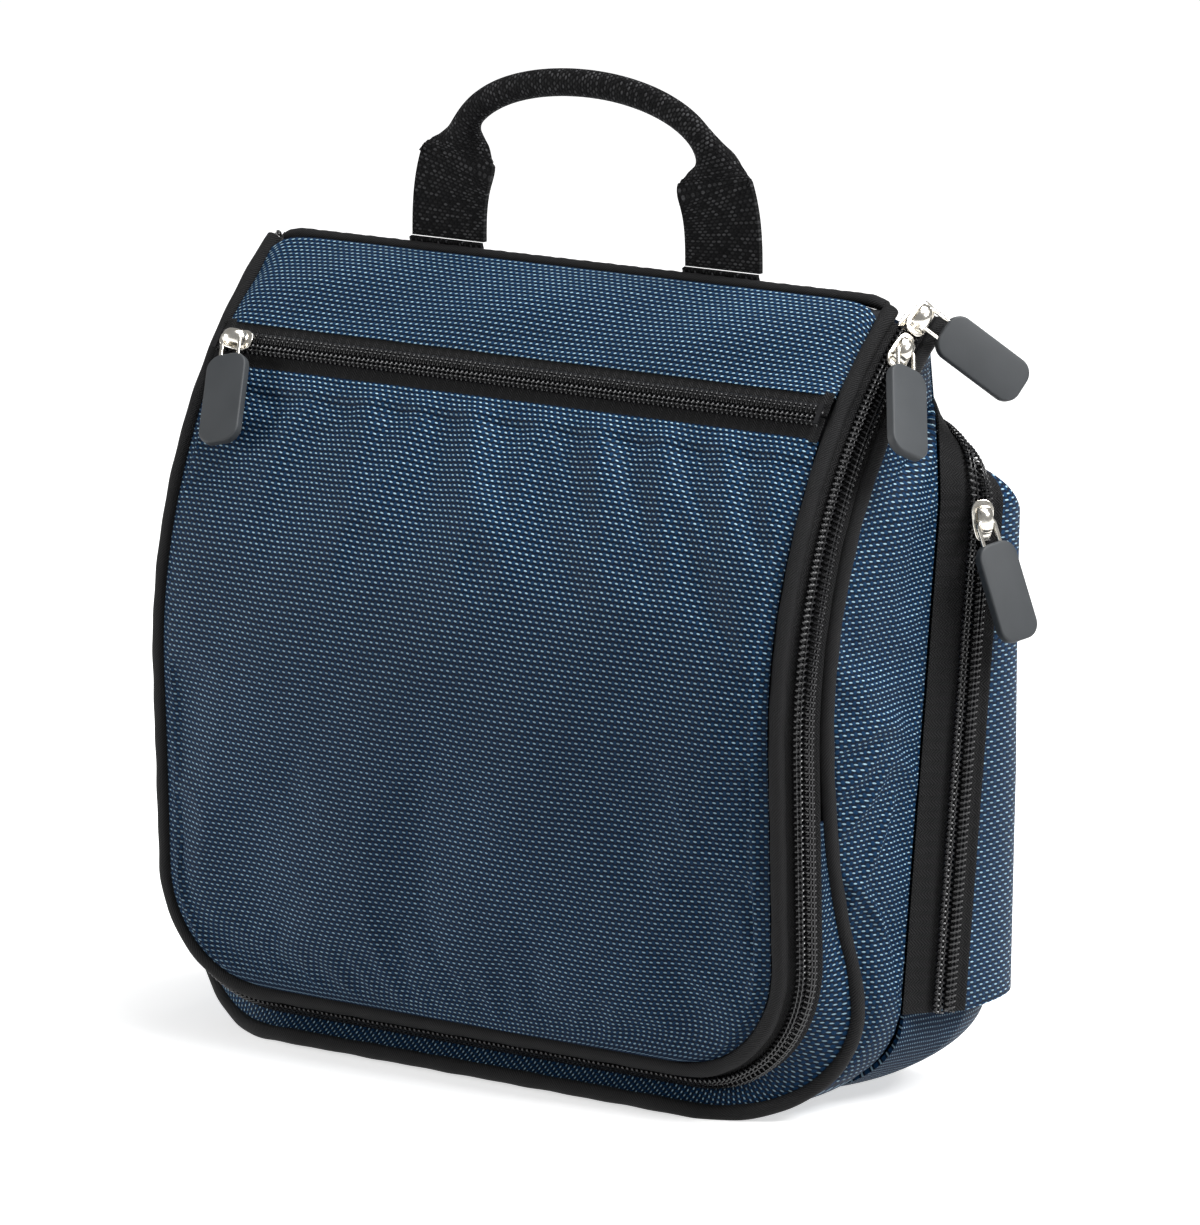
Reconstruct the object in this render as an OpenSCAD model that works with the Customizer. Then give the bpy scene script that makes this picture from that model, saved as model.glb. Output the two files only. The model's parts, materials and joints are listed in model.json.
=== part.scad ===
// Hanging wash bag: a curved front cover on a long zip, a rear pouch on its own zip,
// a webbing handle and rubber zip pulls. +X is to the right of someone facing the bag,
// +Y goes to its back and +Z up. The origin is the middle of the base, on the surface it stands on.

/* [Bag] */
// Width of the front cover between the middles of its piping
cover_w = 254; // [210:1:300]
// Height of the ridge, where the cover hinges
ridge_z = 268; // [230:1:310]
// How far the face of the cover lies in front of the origin
front_y = 58; // [50:1:70]
// How far the back of the rear pouch lies behind the origin
back_y = 57; // [50:1:70]
// Radius of the cover's curve, seen from the side
cover_r = 175; // [165:1:220]
// Height at which that curve starts
curve_z = 130; // [105:1:150]
// How far the lower half of the cover leans back, in degrees
lean = 2; // [0:0.5:4]
// Radius of the cover's lower corners
corner_r = 40; // [30:1:50]
// Height of the cover's bottom piping above the base
cover_drop = 17; // [14:0.5:24]
// Widest half width, at the rear pouch
pouch_half_w = 157; // [150:1:172]

/* [Fabric] */
// Thickness of an outer panel with its lining
panel_t = 2; // [1.2:0.1:3]
// Thickness of the front pocket's single layer
pocket_t = 1.2; // [0.8:0.1:2]
// How far the front pocket bulges in its middle
pocket_bulge = 9; // [5:0.5:12]
// Radius of the piping
piping_r = 2.6; // [2:0.1:3.2]
// Thickness of the divider between the two compartments
divider_t = 2.5; // [1.5:0.1:4]
// Thickness of the base board
board_t = 2; // [1:0.1:3]

/* [Zips] */
// Radius of one half of a zip's coil
coil_r = 1.5; // [1.2:0.05:1.8]
// Distance from the middle of a zip to the middle of each half
coil_off = 2.15; // [1.9:0.05:2.4]
// Thickness of zip tape
tape_t = 0.8; // [0.5:0.05:1.2]
// Length of a slider
slider_len = 13.5; // [11:0.5:15]
// Half width of a slider's plates
slider_half_w = 4; // [3.8:0.1:4.4]
// Width of a rubber pull
pull_w = 15.5; // [12:0.5:17]
// Length of a rubber pull
pull_len = 33; // [26:0.5:38]
// Thickness of a rubber pull
pull_t = 3.5; // [2.5:0.1:4.5]
// Radius of the wire link in a pull
wire_r = 0.7; // [0.5:0.05:0.9]

/* [Handle] */
// Distance from the bag's middle to the middle of each leg
leg_x = 56.5; // [45:0.5:70]
// Width of the webbing
webbing_w = 30; // [25:1:34]
// Thickness of the webbing
webbing_t = 2.4; // [1.6:0.1:3]
// Height of the handle above the ridge
handle_h = 64; // [55:1:80]
// Height of the folded grip
grip_h = 10; // [8:0.5:14]
// Thickness of the folded grip
grip_t = 6; // [5:0.5:8]

/* [Hidden] */

// Gap between two pieces that are sewn together
sewn = 0.08;
// Gap between a slider and what it runs on
running = 0.4;
// Gap between pieces that move apart
free = 0.5;

blue = "#24405f";
black = "#17181a";
metal = "#c9c7c0";
rubber = "#3c3f42";
lining = "#202226";

// ---- Building solids from rings of points -------------------------------------------------

function total(v) = v * [for (x = v) 1];
function unit(v) = v / norm(v);
function backwards(v) = [for (i = [len(v) - 1:-1:0]) v[i]];
function mix(a, b, k) = a + (b - a) * k;
function flip_x(p) = [-p[0], p[1], p[2]];

// A closed solid through rings that have the same, even number of points
module loft(rings) {
    n = len(rings[0]);
    m = len(rings);
    pts = [for (r = rings) each r];
    sides = [for (i = [0:m - 2], j = [0:n - 1])
        let (a = i * n + j, b = i * n + (j + 1) % n)
        each [[a, b, b + n], [a, b + n, a + n]]];
    caps = [for (base = [0, (m - 1) * n], j = [0:n / 2 - 2])
        let (a = base + j, b = base + j + 1, c = base + n - 2 - j, d = base + n - 1 - j)
        each (base == 0 ? [[a, c, b], [a, d, c]] : [[a, b, c], [a, c, d]])];
    tris = concat(sides, caps);
    turned = total([for (t = tris) cross(pts[t[0]], pts[t[1]]) * pts[t[2]]]) > 0;
    polyhedron(pts, turned ? [for (t = tris) backwards(t)] : tris);
}

// A sheet between two grids of points
module sheet(outer, inner) {
    loft([for (i = [0:len(outer) - 1]) concat(outer[i], backwards(inner[i]))]);
}

// ---- The cover's edge: down one side, round the corner and along the bottom ----------------

half_w = cover_w / 2;
arc_y = cover_r - front_y;
top_angle = asin((ridge_z - curve_z) / cover_r);
ridge_y = arc_y - cover_r * cos(top_angle);
down = [0, sin(lean), -cos(lean)];
arc_end = [half_w, arc_y - cover_r * cos(lean), curve_z - cover_r * sin(lean)];
side_len = (arc_end[2] - cover_drop) / cos(lean) - corner_r;
corner_start = arc_end + side_len * down;

// Angle of the cover's curve at a stage from 0 at the ridge to 1 at its end
function curve_angle(t) = mix(top_angle, -lean, t);

// Stages run 0 to 1 down the curve, to 2 down the straight, to 3 round the corner, to 4 at mid bottom.
// Each gives the place of the edge, the way out of the cover and the way into the bag.
function edge(t) =
    t <= 1 ? let (a = curve_angle(t))
        [[half_w, arc_y - cover_r * cos(a), curve_z + cover_r * sin(a)], [1, 0, 0], [0, cos(a), -sin(a)]]
    : t <= 2 ? [arc_end + (t - 1) * side_len * down, [1, 0, 0], [0, cos(lean), sin(lean)]]
    : let (b = min(90, (t - 2) * 90), out = cos(b) * [1, 0, 0] + sin(b) * down,
           mid = corner_start - [corner_r, 0, 0])
        [mid + corner_r * out - max(0, t - 3) * [half_w - corner_r, 0, 0], out, [0, cos(lean), sin(lean)]];

function edge_point(t, p, q) = let (e = edge(t)) e[0] + p * e[1] + q * e[2];

curve_steps = 9;
function stages(start) = concat(
    [for (i = [0:curve_steps]) mix(start, 1, i / curve_steps)], [1.35, 1.7, 2],
    [for (i = [1:6]) 2 + i / 6], [3.5, 4]);

// Both sides of a run whose right half is a list of rings ending at the middle
function both_sides(half) = concat(half, [for (i = [len(half) - 2:-1:0]) [for (p = half[i]) flip_x(p)]]);

// A ring of a section given across the edge, for one stage
function edge_ring(t, section) = [for (s = section) edge_point(t, s[0], s[1])];

module edge_run(start, section) {
    loft(both_sides([for (t = stages(start)) edge_ring(t, section)]));
}

function circle_section(p, q, r, n = 8) = [for (i = [0:n - 1]) [p + r * cos(i * 360 / n), q + r * sin(i * 360 / n)]];

// The band that carries the main zip, from the cover's piping to the body's
band_angle = 58;
band_len = 16.5;
chain_at = 8.6;
band_dir = [cos(band_angle), sin(band_angle)];
band_out = [sin(band_angle), -cos(band_angle)];
function band(s, h) = [0, piping_r] + s * band_dir + h * band_out;
function tape_section(s0, s1) = [band(s0, -tape_t / 2), band(s1, -tape_t / 2), band(s1, tape_t / 2), band(s0, tape_t / 2)];
coil_h = tape_t / 2 + coil_r + sewn;
function coil_section(s) = circle_section(band(s, coil_h)[0], band(s, coil_h)[1], coil_r, 6);

// Stage on the curve at a distance from the ridge
function curve_stage(distance) = distance / cover_r * 180 / PI / (top_angle + lean);

cover_start = curve_stage(3);
cover_zip_start = curve_stage(6);
tail_start = -curve_stage(7);

// The body's rim follows the cover, then runs out to the base
function rim_p(t) = lookup(t, [[0, band(band_len, 0)[0]], [2, band(band_len, 0)[0]], [2.4, 19], [2.67, 20], [3, 14], [4, 14]]);
function rim_q(t) = lookup(t, [[0, band(band_len, 0)[1]], [1, 18], [1.5, 20], [2, 28], [2.4, 32], [2.67, 20], [3, 4], [4, 4]]);
function rim_point(t, p, q) = edge_point(t, rim_p(t) + p, rim_q(t) + q);

// ---- The rear zip: up each side of the pouch and across under the ridge --------------------

zip_x = pouch_half_w - 7;
seam_z = 33;
zip_low = [zip_x, back_y - 50, seam_z + free];
zip_high = [zip_x, back_y - 30, ridge_z - 68];
zip_top = [zip_x - 26, back_y - 15, ridge_z - 49];
side_across = unit([0.62, 0.78, 0]);
top_across = unit([0, 0.35, -0.94]);

// Stages run 0 to 1 up the side, to 2 round the shoulder and to 3 at the middle of the top
function zip_place(k) =
    k <= 1 ? mix(zip_low, zip_high, k)
    : k <= 2 ? let (b = (k - 1) * 90) [mix(zip_top[0], zip_high[0], cos(b)), mix(zip_high[1], zip_top[1], 1 - cos(b)),
                                      mix(zip_high[2], zip_top[2], sin(b))]
    : [mix(zip_top[0], 0, k - 2), zip_top[1], zip_top[2]];
function zip_across(k) = unit(mix(side_across, top_across, max(0, min(1, k - 1))));
zip_run = unit(zip_high - zip_low);
function zip_along(k) = unit(mix(zip_run, [-1, 0, 0], max(0, min(1, k - 1))));
function zip_out(k) = unit(cross(zip_along(k), zip_across(k)) * -1);
function zip_point(k, s, h) = zip_place(k) + s * zip_across(k) + h * zip_out(k);
zip_stages = concat([0, 0.25, 0.5, 0.75], [for (i = [0:6]) 1 + i / 6], [2.5, 3]);

module zip_strip(s0, s1) {
    loft(both_sides([for (k = zip_stages)
        [zip_point(k, s0, -tape_t / 2), zip_point(k, s1, -tape_t / 2), zip_point(k, s1, tape_t / 2), zip_point(k, s0, tape_t / 2)]]));
}

module zip_half_coil(s) {
    loft(both_sides([for (k = zip_stages)
        [for (i = [0:5]) zip_point(k, s + coil_r * cos(i * 60), coil_h + coil_r * sin(i * 60))]]));
}

front_tape_w = 13.5;
back_tape_w = 8;

// ---- Front cover ---------------------------------------------------------------------------

// How far the panels stand forward of the edge, over the height and width of the cover
function bulge(x, t) = pocket_bulge * (1 - pow(x / half_w, 2)) * lookup(t, [[0.4, 0], [0.9, 1], [1.6, 1], [2.2, 0.6], [3, 0.1]]);
function across(w, n) = [for (i = [0:n]) mix(-w, w, i / n)];

// Rows of a panel, from one stage to another, with the depth of its face
panel_inset = piping_r + sewn;
// The panels' round corners stay clear of the piping, which is drawn there in straight lengths
panel_corner = corner_r - panel_inset - 0.35;
function cover_face(t, q, puff) = let (e = edge(t), b = max(0, t - 2) * 90, v = t <= 2 ? e[0] : corner_start + panel_corner * sin(b) * down,
        w = t <= 2 ? half_w - panel_inset : half_w - corner_r + panel_corner * cos(b))
    [for (x = across(w, 10)) [x, v[1], v[2]] + (q - puff * bulge(x, t)) * e[2]];
module cover_panel(stage_list, q, thickness, puff) {
    sheet([for (t = stage_list) cover_face(t, q, puff)], [for (t = stage_list) cover_face(t, q + thickness, puff)]);
}

pocket_zip_stage = 0.296;
pocket_zip_w = 18;
pocket_zip_q = 0.4;
stage_mm = 180 / PI / cover_r / (top_angle + lean);
zip_half = pocket_zip_w / 2 * stage_mm;
low_stages = [1, 1.35, 1.7, 2, 2.17, 2.33, 2.5, 2.67, 2.83, 2.92];

module top_panel() {
    color(blue) cover_panel([for (i = [0:5]) mix(cover_start, pocket_zip_stage - zip_half - 0.1 * stage_mm, i / 5)],
        0, pocket_t, 1);
}
module pocket_panel() {
    color(blue) cover_panel(concat([for (i = [0:2]) mix(pocket_zip_stage + zip_half + 0.1 * stage_mm, 0.94, i / 2)], low_stages),
        0, pocket_t, 1);
}
backing_q = 3.4;
backing_t = 1.6;
module cover_backing() {
    color(lining) cover_panel(concat([for (i = [0:7]) mix(cover_start, 0.93, i / 7)], low_stages),
        backing_q, backing_t, 0);
}
module cover_piping() { color(black) edge_run(cover_start, circle_section(0, piping_r, piping_r)); }
module main_zip_cover_tape() { color(black) edge_run(cover_zip_start, tape_section(piping_r + sewn, chain_at - coil_off)); }
module main_zip_cover_coil() { color(black) edge_run(cover_zip_start, coil_section(chain_at - coil_off)); }

// The pocket zip lies across the cover, on its bulged face
function pocket_line(s, h) = [for (x = across(half_w - panel_inset, 10))
    let (t = pocket_zip_stage + s * stage_mm, e = edge(t))
    [x, e[0][1], e[0][2]] + (pocket_zip_q - h) * e[2]];
module pocket_tape(s0, s1) {
    sheet([pocket_line(s0, 0), pocket_line(s1, 0)], [pocket_line(s0, -tape_t), pocket_line(s1, -tape_t)]);
}
module pocket_half_coil(s) {
    lines = [for (i = [0:5]) pocket_line(s + coil_r * cos(i * 60), coil_r + sewn + coil_r * sin(i * 60))];
    loft([for (j = [0:10]) [for (l = lines) l[j]]]);
}
module pocket_zip_upper_tape() { color(black) pocket_tape(-pocket_zip_w / 2, -coil_off); }
module pocket_zip_lower_tape() { color(black) pocket_tape(coil_off, pocket_zip_w / 2); }
module pocket_zip_upper_coil() { color(black) pocket_half_coil(-coil_off); }
module pocket_zip_lower_coil() { color(black) pocket_half_coil(coil_off); }

// ---- Body ----------------------------------------------------------------------------------

// Rear edge of a gusset: from the ridge down the back, down beside the pouch zip and under the bag
function body_zip_edge(k) = zip_point(k, -front_tape_w, 0);
side_zip_foot = body_zip_edge(0.04);
gusset_top = [half_w + 4, ridge_y + 16, ridge_z - 17];
function gusset_rear(t) =
    t <= 0.5 ? mix(gusset_top, body_zip_edge(1.9), t / 0.5)
    : t <= 0.8 ? body_zip_edge(mix(1.9, 0.9, (t - 0.5) / 0.3))
    : t <= 2 ? body_zip_edge(mix(0.9, 0.04, (t - 0.8) / 1.2))
    : let (b = (t - 2) * 90)
        [mix(side_zip_foot[0], half_w - corner_r, 1 - cos(b)), side_zip_foot[1], mix(side_zip_foot[2], 0, sin(b))];
gusset_turn = 0.2;
function gusset_out(t) = unit(t <= 2 ? [1, -gusset_turn, 0] : [edge(t)[1][0], -gusset_turn, edge(t)[1][2]]);
function gusset_point(t, f, inward) =
    mix(rim_point(t, 0, piping_r + sewn), gusset_rear(t) - [0, gusset_turn * panel_t + sewn, 0], f) - inward * gusset_out(t);
gusset_stages = concat([for (i = [0:8]) mix(0.02, 1, i / 8)], [1.35, 1.7, 2], [for (i = [1:6]) 2 + i / 6]);
module gusset() {
    function skin(inward) = [for (t = gusset_stages) [for (f = [0, 0.25, 0.5, 0.75, 1]) gusset_point(t, f, inward)]];
    sheet(skin(0), skin(panel_t));
}
module gusset_right() { color(blue) gusset(); }
module gusset_left() { color(blue) mirror([1, 0, 0]) gusset(); }

// The fabric cup under the rear pouch, as level rings from its rim down to the base panel
base_front = rim_point(4, 0, piping_r + sewn)[1];
base_rear = back_y - 32;
base_half_w = half_w - corner_r - sewn;
board_margin = 3;
corner_w = 26;
corner_d = 34;
function plan_corner(w, step, side_y, rear, f) = let (d = min(corner_d, 0.9 * (rear - side_y)))
    f <= 0.3 ? [w - step * (1 - f / 0.3), mix(side_y, rear - d, f / 0.3)]
    : f <= 0.7 ? let (b = (f - 0.3) / 0.4 * 90) [w - corner_w * (1 - cos(b)), rear - d + d * sin(b)]
    : [mix(w - corner_w, 0, (f - 0.7) / 0.3), rear];
function plan_out(f) = f <= 0.3 ? [1, 0] : f >= 0.7 ? [0, 1] : let (b = (f - 0.3) / 0.4 * 90) [cos(b), sin(b)];
cup_flare = 7;
cup_steps = [0, 0.15, 0.3, 0.4, 0.5, 0.6, 0.7, 0.85, 1];
function cup_ring(b, inward) = let (
    w = mix(side_zip_foot[0] + cup_flare, base_half_w + sewn, 1 - cos(b)),
    rear = mix(back_y, base_rear + sewn, 1 - cos(b)), z = mix(seam_z, 0, sin(b)))
    [for (f = cup_steps) let (c = plan_corner(w, cup_flare * cos(b), side_zip_foot[1] + sewn, rear, f), o = plan_out(f))
        [c[0] - inward * cos(b) * o[0], c[1] - inward * cos(b) * o[1], z + inward * sin(b)]];
function whole_ring(half) = concat(half, [for (i = [len(half) - 2:-1:0]) flip_x(half[i])]);
module rear_base_panel() {
    color(blue) sheet([for (b = [0:15:90]) whole_ring(cup_ring(b, 0))], [for (b = [0:15:90]) whole_ring(cup_ring(b, panel_t))]);
}

// The base: a flat panel with a board on it, both rounded to fit the cup
module base_plan(front, inset) {
    half = [for (f = cup_steps) plan_corner(base_half_w - inset, 0, side_zip_foot[1], base_rear - inset, f)];
    polygon(concat([[base_half_w - inset, front]], half, [for (p = backwards(half)) [-p[0], p[1]]], [[inset - base_half_w, front]]));
}
module bottom_panel() { color(blue) linear_extrude(panel_t) base_plan(base_front, 0); }
module base_board() {
    color(lining) translate([0, 0, panel_t + sewn]) linear_extrude(board_t) base_plan(base_front + 4 * board_margin, board_margin);
}

// The ridge and the back above the rear zip
hinge = edge_point(0, 0, piping_r);
back_start = [hinge[1] + 2.8, hinge[2] - 2];
back_end = [body_zip_edge(3)[1], body_zip_edge(3)[2]];
back_bend = [ridge_y + 25, ridge_z - 15];
function back_profile(f) = pow(1 - f, 2) * back_start + 2 * f * (1 - f) * back_bend + f * f * back_end;
function back_out(f) = let (d = unit(back_profile(min(1, f + 0.02)) - back_profile(f - 0.02))) [-d[1], d[0]];
function back_row(f, depth, x0, x1, n) = let (p = back_profile(f) - depth * back_out(f))
    [for (i = [0:n]) [mix(x0, x1, i / n), p[0], p[1]]];
module back_sheet(f0, f1, d0, d1, x0, x1) {
    rows = [for (i = [0:6]) mix(f0, f1, i / 6)];
    sheet([for (f = rows) back_row(f, d0, x0, x1, 2)], [for (f = rows) back_row(f, d1, x0, x1, 2)]);
}
back_half_w = half_w - 3;
module upper_back_panel() { color(blue) back_sheet(0.02, 0.98, 0, panel_t, -back_half_w, back_half_w); }
ridge_piping_r = piping_r - 0.2;
module ridge_piping() {
    color(black) translate([0, hinge[1], hinge[2]]) rotate([0, 90, 0])
        cylinder(r = ridge_piping_r, h = 2 * (half_w - piping_r - 1), center = true, $fn = 32);
}
tail_depth = panel_t + free;
module handle_tails() {
    color(black) for (side = [-1, 1])
        back_sheet(0.12, 0.5, tail_depth, tail_depth + 1.6, side * leg_x - webbing_w / 2, side * leg_x + webbing_w / 2);
}

// The padded wall between the compartments follows the rear edge of the gussets
divider_stages = [2.88, 2.7, 2.5, 2.25, 2, 1.4, 0.9, 0.8, 0.6];
function wall_gap(t) = panel_t + lookup(t, [[0.6, 7], [0.9, 2.5], [1.4, 1]]);
function floor_gap(t) = t > 2 ? panel_t + board_t + free : 0;
function divider_row(t, forward) = let (g = gusset_rear(t), w = g[0] - wall_gap(t))
    [for (x = [-w, 0, w]) [x, g[1] - forward, g[2] + floor_gap(t)]];
module divider_wall() {
    color(lining) sheet([for (t = divider_stages) divider_row(t, divider_t / 2 + 1)],
                        [for (t = divider_stages) divider_row(t, 1 - divider_t / 2)]);
}
mesh_half_w = 104;
mesh_t = 0.6;
mesh_stages = [2.45, 2.3, 2, 1.8, 1.6, 1.45];
function mesh_row(t, forward) = let (g = gusset_rear(t), open = lookup(t, [[1.4, 7], [2, 7], [2.45, 0.5]]))
    [for (x = across(mesh_half_w, 6)) [x, g[1] - 1 - divider_t / 2 - sewn - forward - open * (1 - pow(x / mesh_half_w, 4)), g[2] + floor_gap(t)]];
module inner_pocket_mesh() {
    color(black) sheet([for (t = mesh_stages) mesh_row(t, mesh_t)], [for (t = mesh_stages) mesh_row(t, 0)]);
}
module inner_pocket_binding() {
    color(black) sheet([for (t = [1.44, 1.38]) mesh_row(t, 1.6)], [for (t = [1.44, 1.38]) mesh_row(t, 0)]);
}

// Pieces round the body's opening
module body_piping() { color(black) loft(both_sides([for (t = stages(tail_start)) [for (s = circle_section(0, 0, piping_r))
    rim_point(t, s[0], s[1])]])); }
module main_zip_body_tape() { color(black) edge_run(tail_start, tape_section(chain_at + coil_off, band_len - piping_r - sewn)); }
module main_zip_body_coil() { color(black) edge_run(tail_start, coil_section(chain_at + coil_off)); }
fascia_t = 0.8;
fascia_gap = 0.6;
fascia_stages = concat([1.3, 1.5, 1.7, 2], [for (i = [1:6]) 2 + i / 6], [3.5, 4]);
// Along the bottom the fascia leaves the piping on its upper side, clear of the base
function fascia_rise(t) = lookup(t, [[2.4, 0], [2.67, 0.3], [2.83, 0.5], [4, 0.5]]);
function fascia_row(t, inward) = let (
    from = band(band_len - piping_r + fascia_gap, 0), a = edge_point(t, from[0], from[1]), rim = rim_point(t, 0, 0),
    b = rim + (piping_r + fascia_gap) * unit(mix(unit(a - rim), -1 * edge(t)[1], fascia_rise(t))), n = unit(cross(b - a, t < 3.9 ? edge(t + 0.05)[0] - edge(t)[0] : [-1, 0, 0])))
    [for (f = [0, 0.5, 1]) mix(a, b, f) + inward * n];
function skin_rows(ts, inward) = [for (t = ts) fascia_row(t, inward)];
module front_fascia() {
    color(blue) sheet(both_sides(skin_rows(fascia_stages, 0)), both_sides(skin_rows(fascia_stages, fascia_t)));
}
module rear_zip_body_tape() { color(black) zip_strip(-front_tape_w, -coil_off); }
module rear_zip_body_coil() { color(black) zip_half_coil(-coil_off); }
module rear_zip_pouch_tape() { color(black) zip_strip(coil_off, back_tape_w); }
module rear_zip_pouch_coil() { color(black) zip_half_coil(coil_off); }

// ---- Rear pouch ----------------------------------------------------------------------------

pouch_corner = 24;
function pouch_start(k) = zip_point(k, back_tape_w + free, 0);
function pouch_back(k) =
    k <= 1 ? let (p = pouch_start(k)) [pouch_half_w - pouch_corner, back_y, p[2]]
    : let (b = min(1, k - 1) * 90, p = pouch_start(1))
        [mix(zip_top[0] - 14, pouch_half_w - pouch_corner, cos(b)) * (k <= 2 ? 1 : 3 - k),
         back_y - 2 * sin(b), mix(p[2], zip_top[2] - 27, sin(b))];
function pouch_bend(k) = let (s = pouch_start(k), e = pouch_back(k), top = max(0, min(1, k - 1)))
    [mix(pouch_half_w + 1.5, s[0], top), mix(back_y, (s[1] + e[1]) / 2 + 4, top), mix(s[2], s[2] - 4, top)];
function pouch_side_point(k, f, inward) = let (s = pouch_start(k), c = pouch_bend(k), e = pouch_back(k),
    n = unit(mix([cos(90 * f), sin(90 * f), 0], [0, 1, 0.5 * (1 - f)], max(0, min(1, k - 1)))))
    pow(1 - f, 2) * s + 2 * f * (1 - f) * c + f * f * e - inward * n;
side_steps = [0, 0.17, 0.33, 0.5, 0.67, 0.83, 1];
module pouch_strip(ks) {
    function skin(inward) = [for (k = ks) [for (f = side_steps) pouch_side_point(k, f, inward)]];
    sheet(skin(0), skin(panel_t));
}
// The strip round the pouch is cut into two halves that meet at the middle of the top
module pouch_side_right() { color(blue) pouch_strip(concat([0, 0.5], [for (i = [0:6]) 1 + i / 6], [2.5, 2.998])); }
module pouch_side_left() { color(blue) mirror([1, 0, 0]) pouch_strip(concat([0, 0.5], [for (i = [0:6]) 1 + i / 6], [2.5, 2.998])); }
back_bulge = 3;
function pouch_row(k, inward) = let (e = pouch_back(k), w = e[0] - sewn)
    [for (x = across(w, 8)) [x, e[1] + back_bulge * (1 - pow(x / w, 2)) * lookup(k, [[0, 0], [0.4, 1], [1.4, 1], [2, 0]]) - inward, e[2]]];
module pouch_panel() {
    ks = concat([0, 0.2, 0.4, 0.7], [for (i = [0:5]) 1 + i / 6], [1.95]);
    color(blue) sheet([for (k = ks) pouch_row(k, 0)], [for (k = ks) pouch_row(k, panel_t)]);
}

pouch_hinge = [0, back_y + 1, seam_z + 0.3];

// ---- Handle --------------------------------------------------------------------------------

handle_y = hinge[1] + ridge_piping_r + webbing_t / 2;
handle_hinge = [0, handle_y, hinge[2] + 0.5];
leg_foot = handle_hinge[2] + 2.7;
grip_foot = ridge_z + handle_h - 34;
grip_out = leg_x + 0.5;
grip_in = grip_out - 14;
module in_front_view(thickness) {
    translate([0, handle_y + thickness / 2, 0]) rotate([90, 0, 0]) linear_extrude(thickness) children();
}
module handle_leg() {
    in_front_view(webbing_t) polygon([[leg_x - webbing_w / 2, leg_foot], [leg_x + webbing_w / 2, leg_foot],
        [leg_x + webbing_w / 2 - 1.5, grip_foot - 14], [grip_out, grip_foot - sewn], [grip_in, grip_foot - sewn],
        [leg_x - webbing_w / 2 - 1, grip_foot - 12]]);
}
module handle_leg_right() { color(black) handle_leg(); }
module handle_leg_left() { color(black) mirror([1, 0, 0]) handle_leg(); }
module handle_grip() {
    arch = 34;
    outer = [for (a = [0:7.5:180]) [grip_out * cos(a), grip_foot + arch * pow(sin(a), 0.8)]];
    inner = [for (a = [180:-7.5:0]) [grip_in * cos(a), grip_foot + (arch - grip_h) * pow(sin(a), 0.8)]];
    color(black) in_front_view(grip_t) polygon(concat(outer, inner));
}

// ---- Sliders and pulls ---------------------------------------------------------------------

// Draws in a frame given by its place and its three axes
module place(at, x, y, z) {
    multmatrix([[x[0], y[0], z[0], at[0]], [x[1], y[1], z[1], at[1]], [x[2], y[2], z[2], at[2]], [0, 0, 0, 1]]) children();
}
plate_t = 0.9;
plate_z = 2 * coil_r + sewn + running;
post_t = 2 * (coil_off - coil_r - running);
crown_r = 5;
crown_w = 3.4;
pivot_rise = 2.2;
pivot_h = plate_z + plate_t + pivot_rise;
module plate(y0, height) {
    linear_extrude(height) intersection() {
        translate([-slider_len / 2, y0]) square([slider_len, slider_half_w - y0]);
        translate([1.5, 0]) circle(r = slider_len / 2 + 1.5, $fn = 48);
    }
}
// A slider lies along X, with the teeth between its plates and its bridge outwards along Z.
// y0 is where its plates start: on the cover or pouch side they are left out, so that side can lift away.
module slider(y0, turn) {
    translate([0, 0, plate_z]) plate(y0, plate_t);
    translate([0, 0, -tape_t - running - plate_t]) plate(y0, plate_t);
    translate([-slider_len / 2 + 2, -post_t / 2, -tape_t - running - plate_t])
        cube([slider_len * 0.35, post_t, plate_z + tape_t + running + 2 * plate_t]);
    translate([0, 0, plate_z + plate_t]) rotate([0, 0, turn]) rotate([90, 0, 0]) translate([0, 0, -crown_w / 2])
        linear_extrude(crown_w) difference() {
            intersection() {
                circle(r = crown_r, $fn = 48);
                translate([-crown_r, -plate_t / 2]) square([2 * crown_r, crown_r + plate_t]);
            }
            translate([0, pivot_rise]) scale([1, 0.72]) circle(r = 2, $fn = 32);
        }
}
// A link and its pull hang along -Y from their pivot, with the pull's face towards Z
link_half_w = 3.4;
link_len = 7.5;
module link() {
    rotate([0, 90, 0]) cylinder(r = wire_r, h = 2 * link_half_w, center = true, $fn = 16);
    for (side = [-1, 1]) translate([side * link_half_w, 0, 0]) {
        sphere(r = wire_r, $fn = 16);
        rotate([90, 0, 0]) cylinder(r = wire_r, h = link_len + 4, $fn = 16);
    }
}
pull_corner = 4;
module pull() {
    translate([0, -link_len - pull_len / 2, -pull_t / 2]) linear_extrude(pull_t) {
        square([pull_w - 2 * pull_corner, pull_len], center = true);
        square([pull_w, pull_len - 2 * pull_corner], center = true);
        for (x = [-1, 1], y = [-1, 1]) translate([x * (pull_w / 2 - pull_corner), y * (pull_len / 2 - pull_corner)])
            circle(r = pull_corner, $fn = 32);
    }
}

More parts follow.
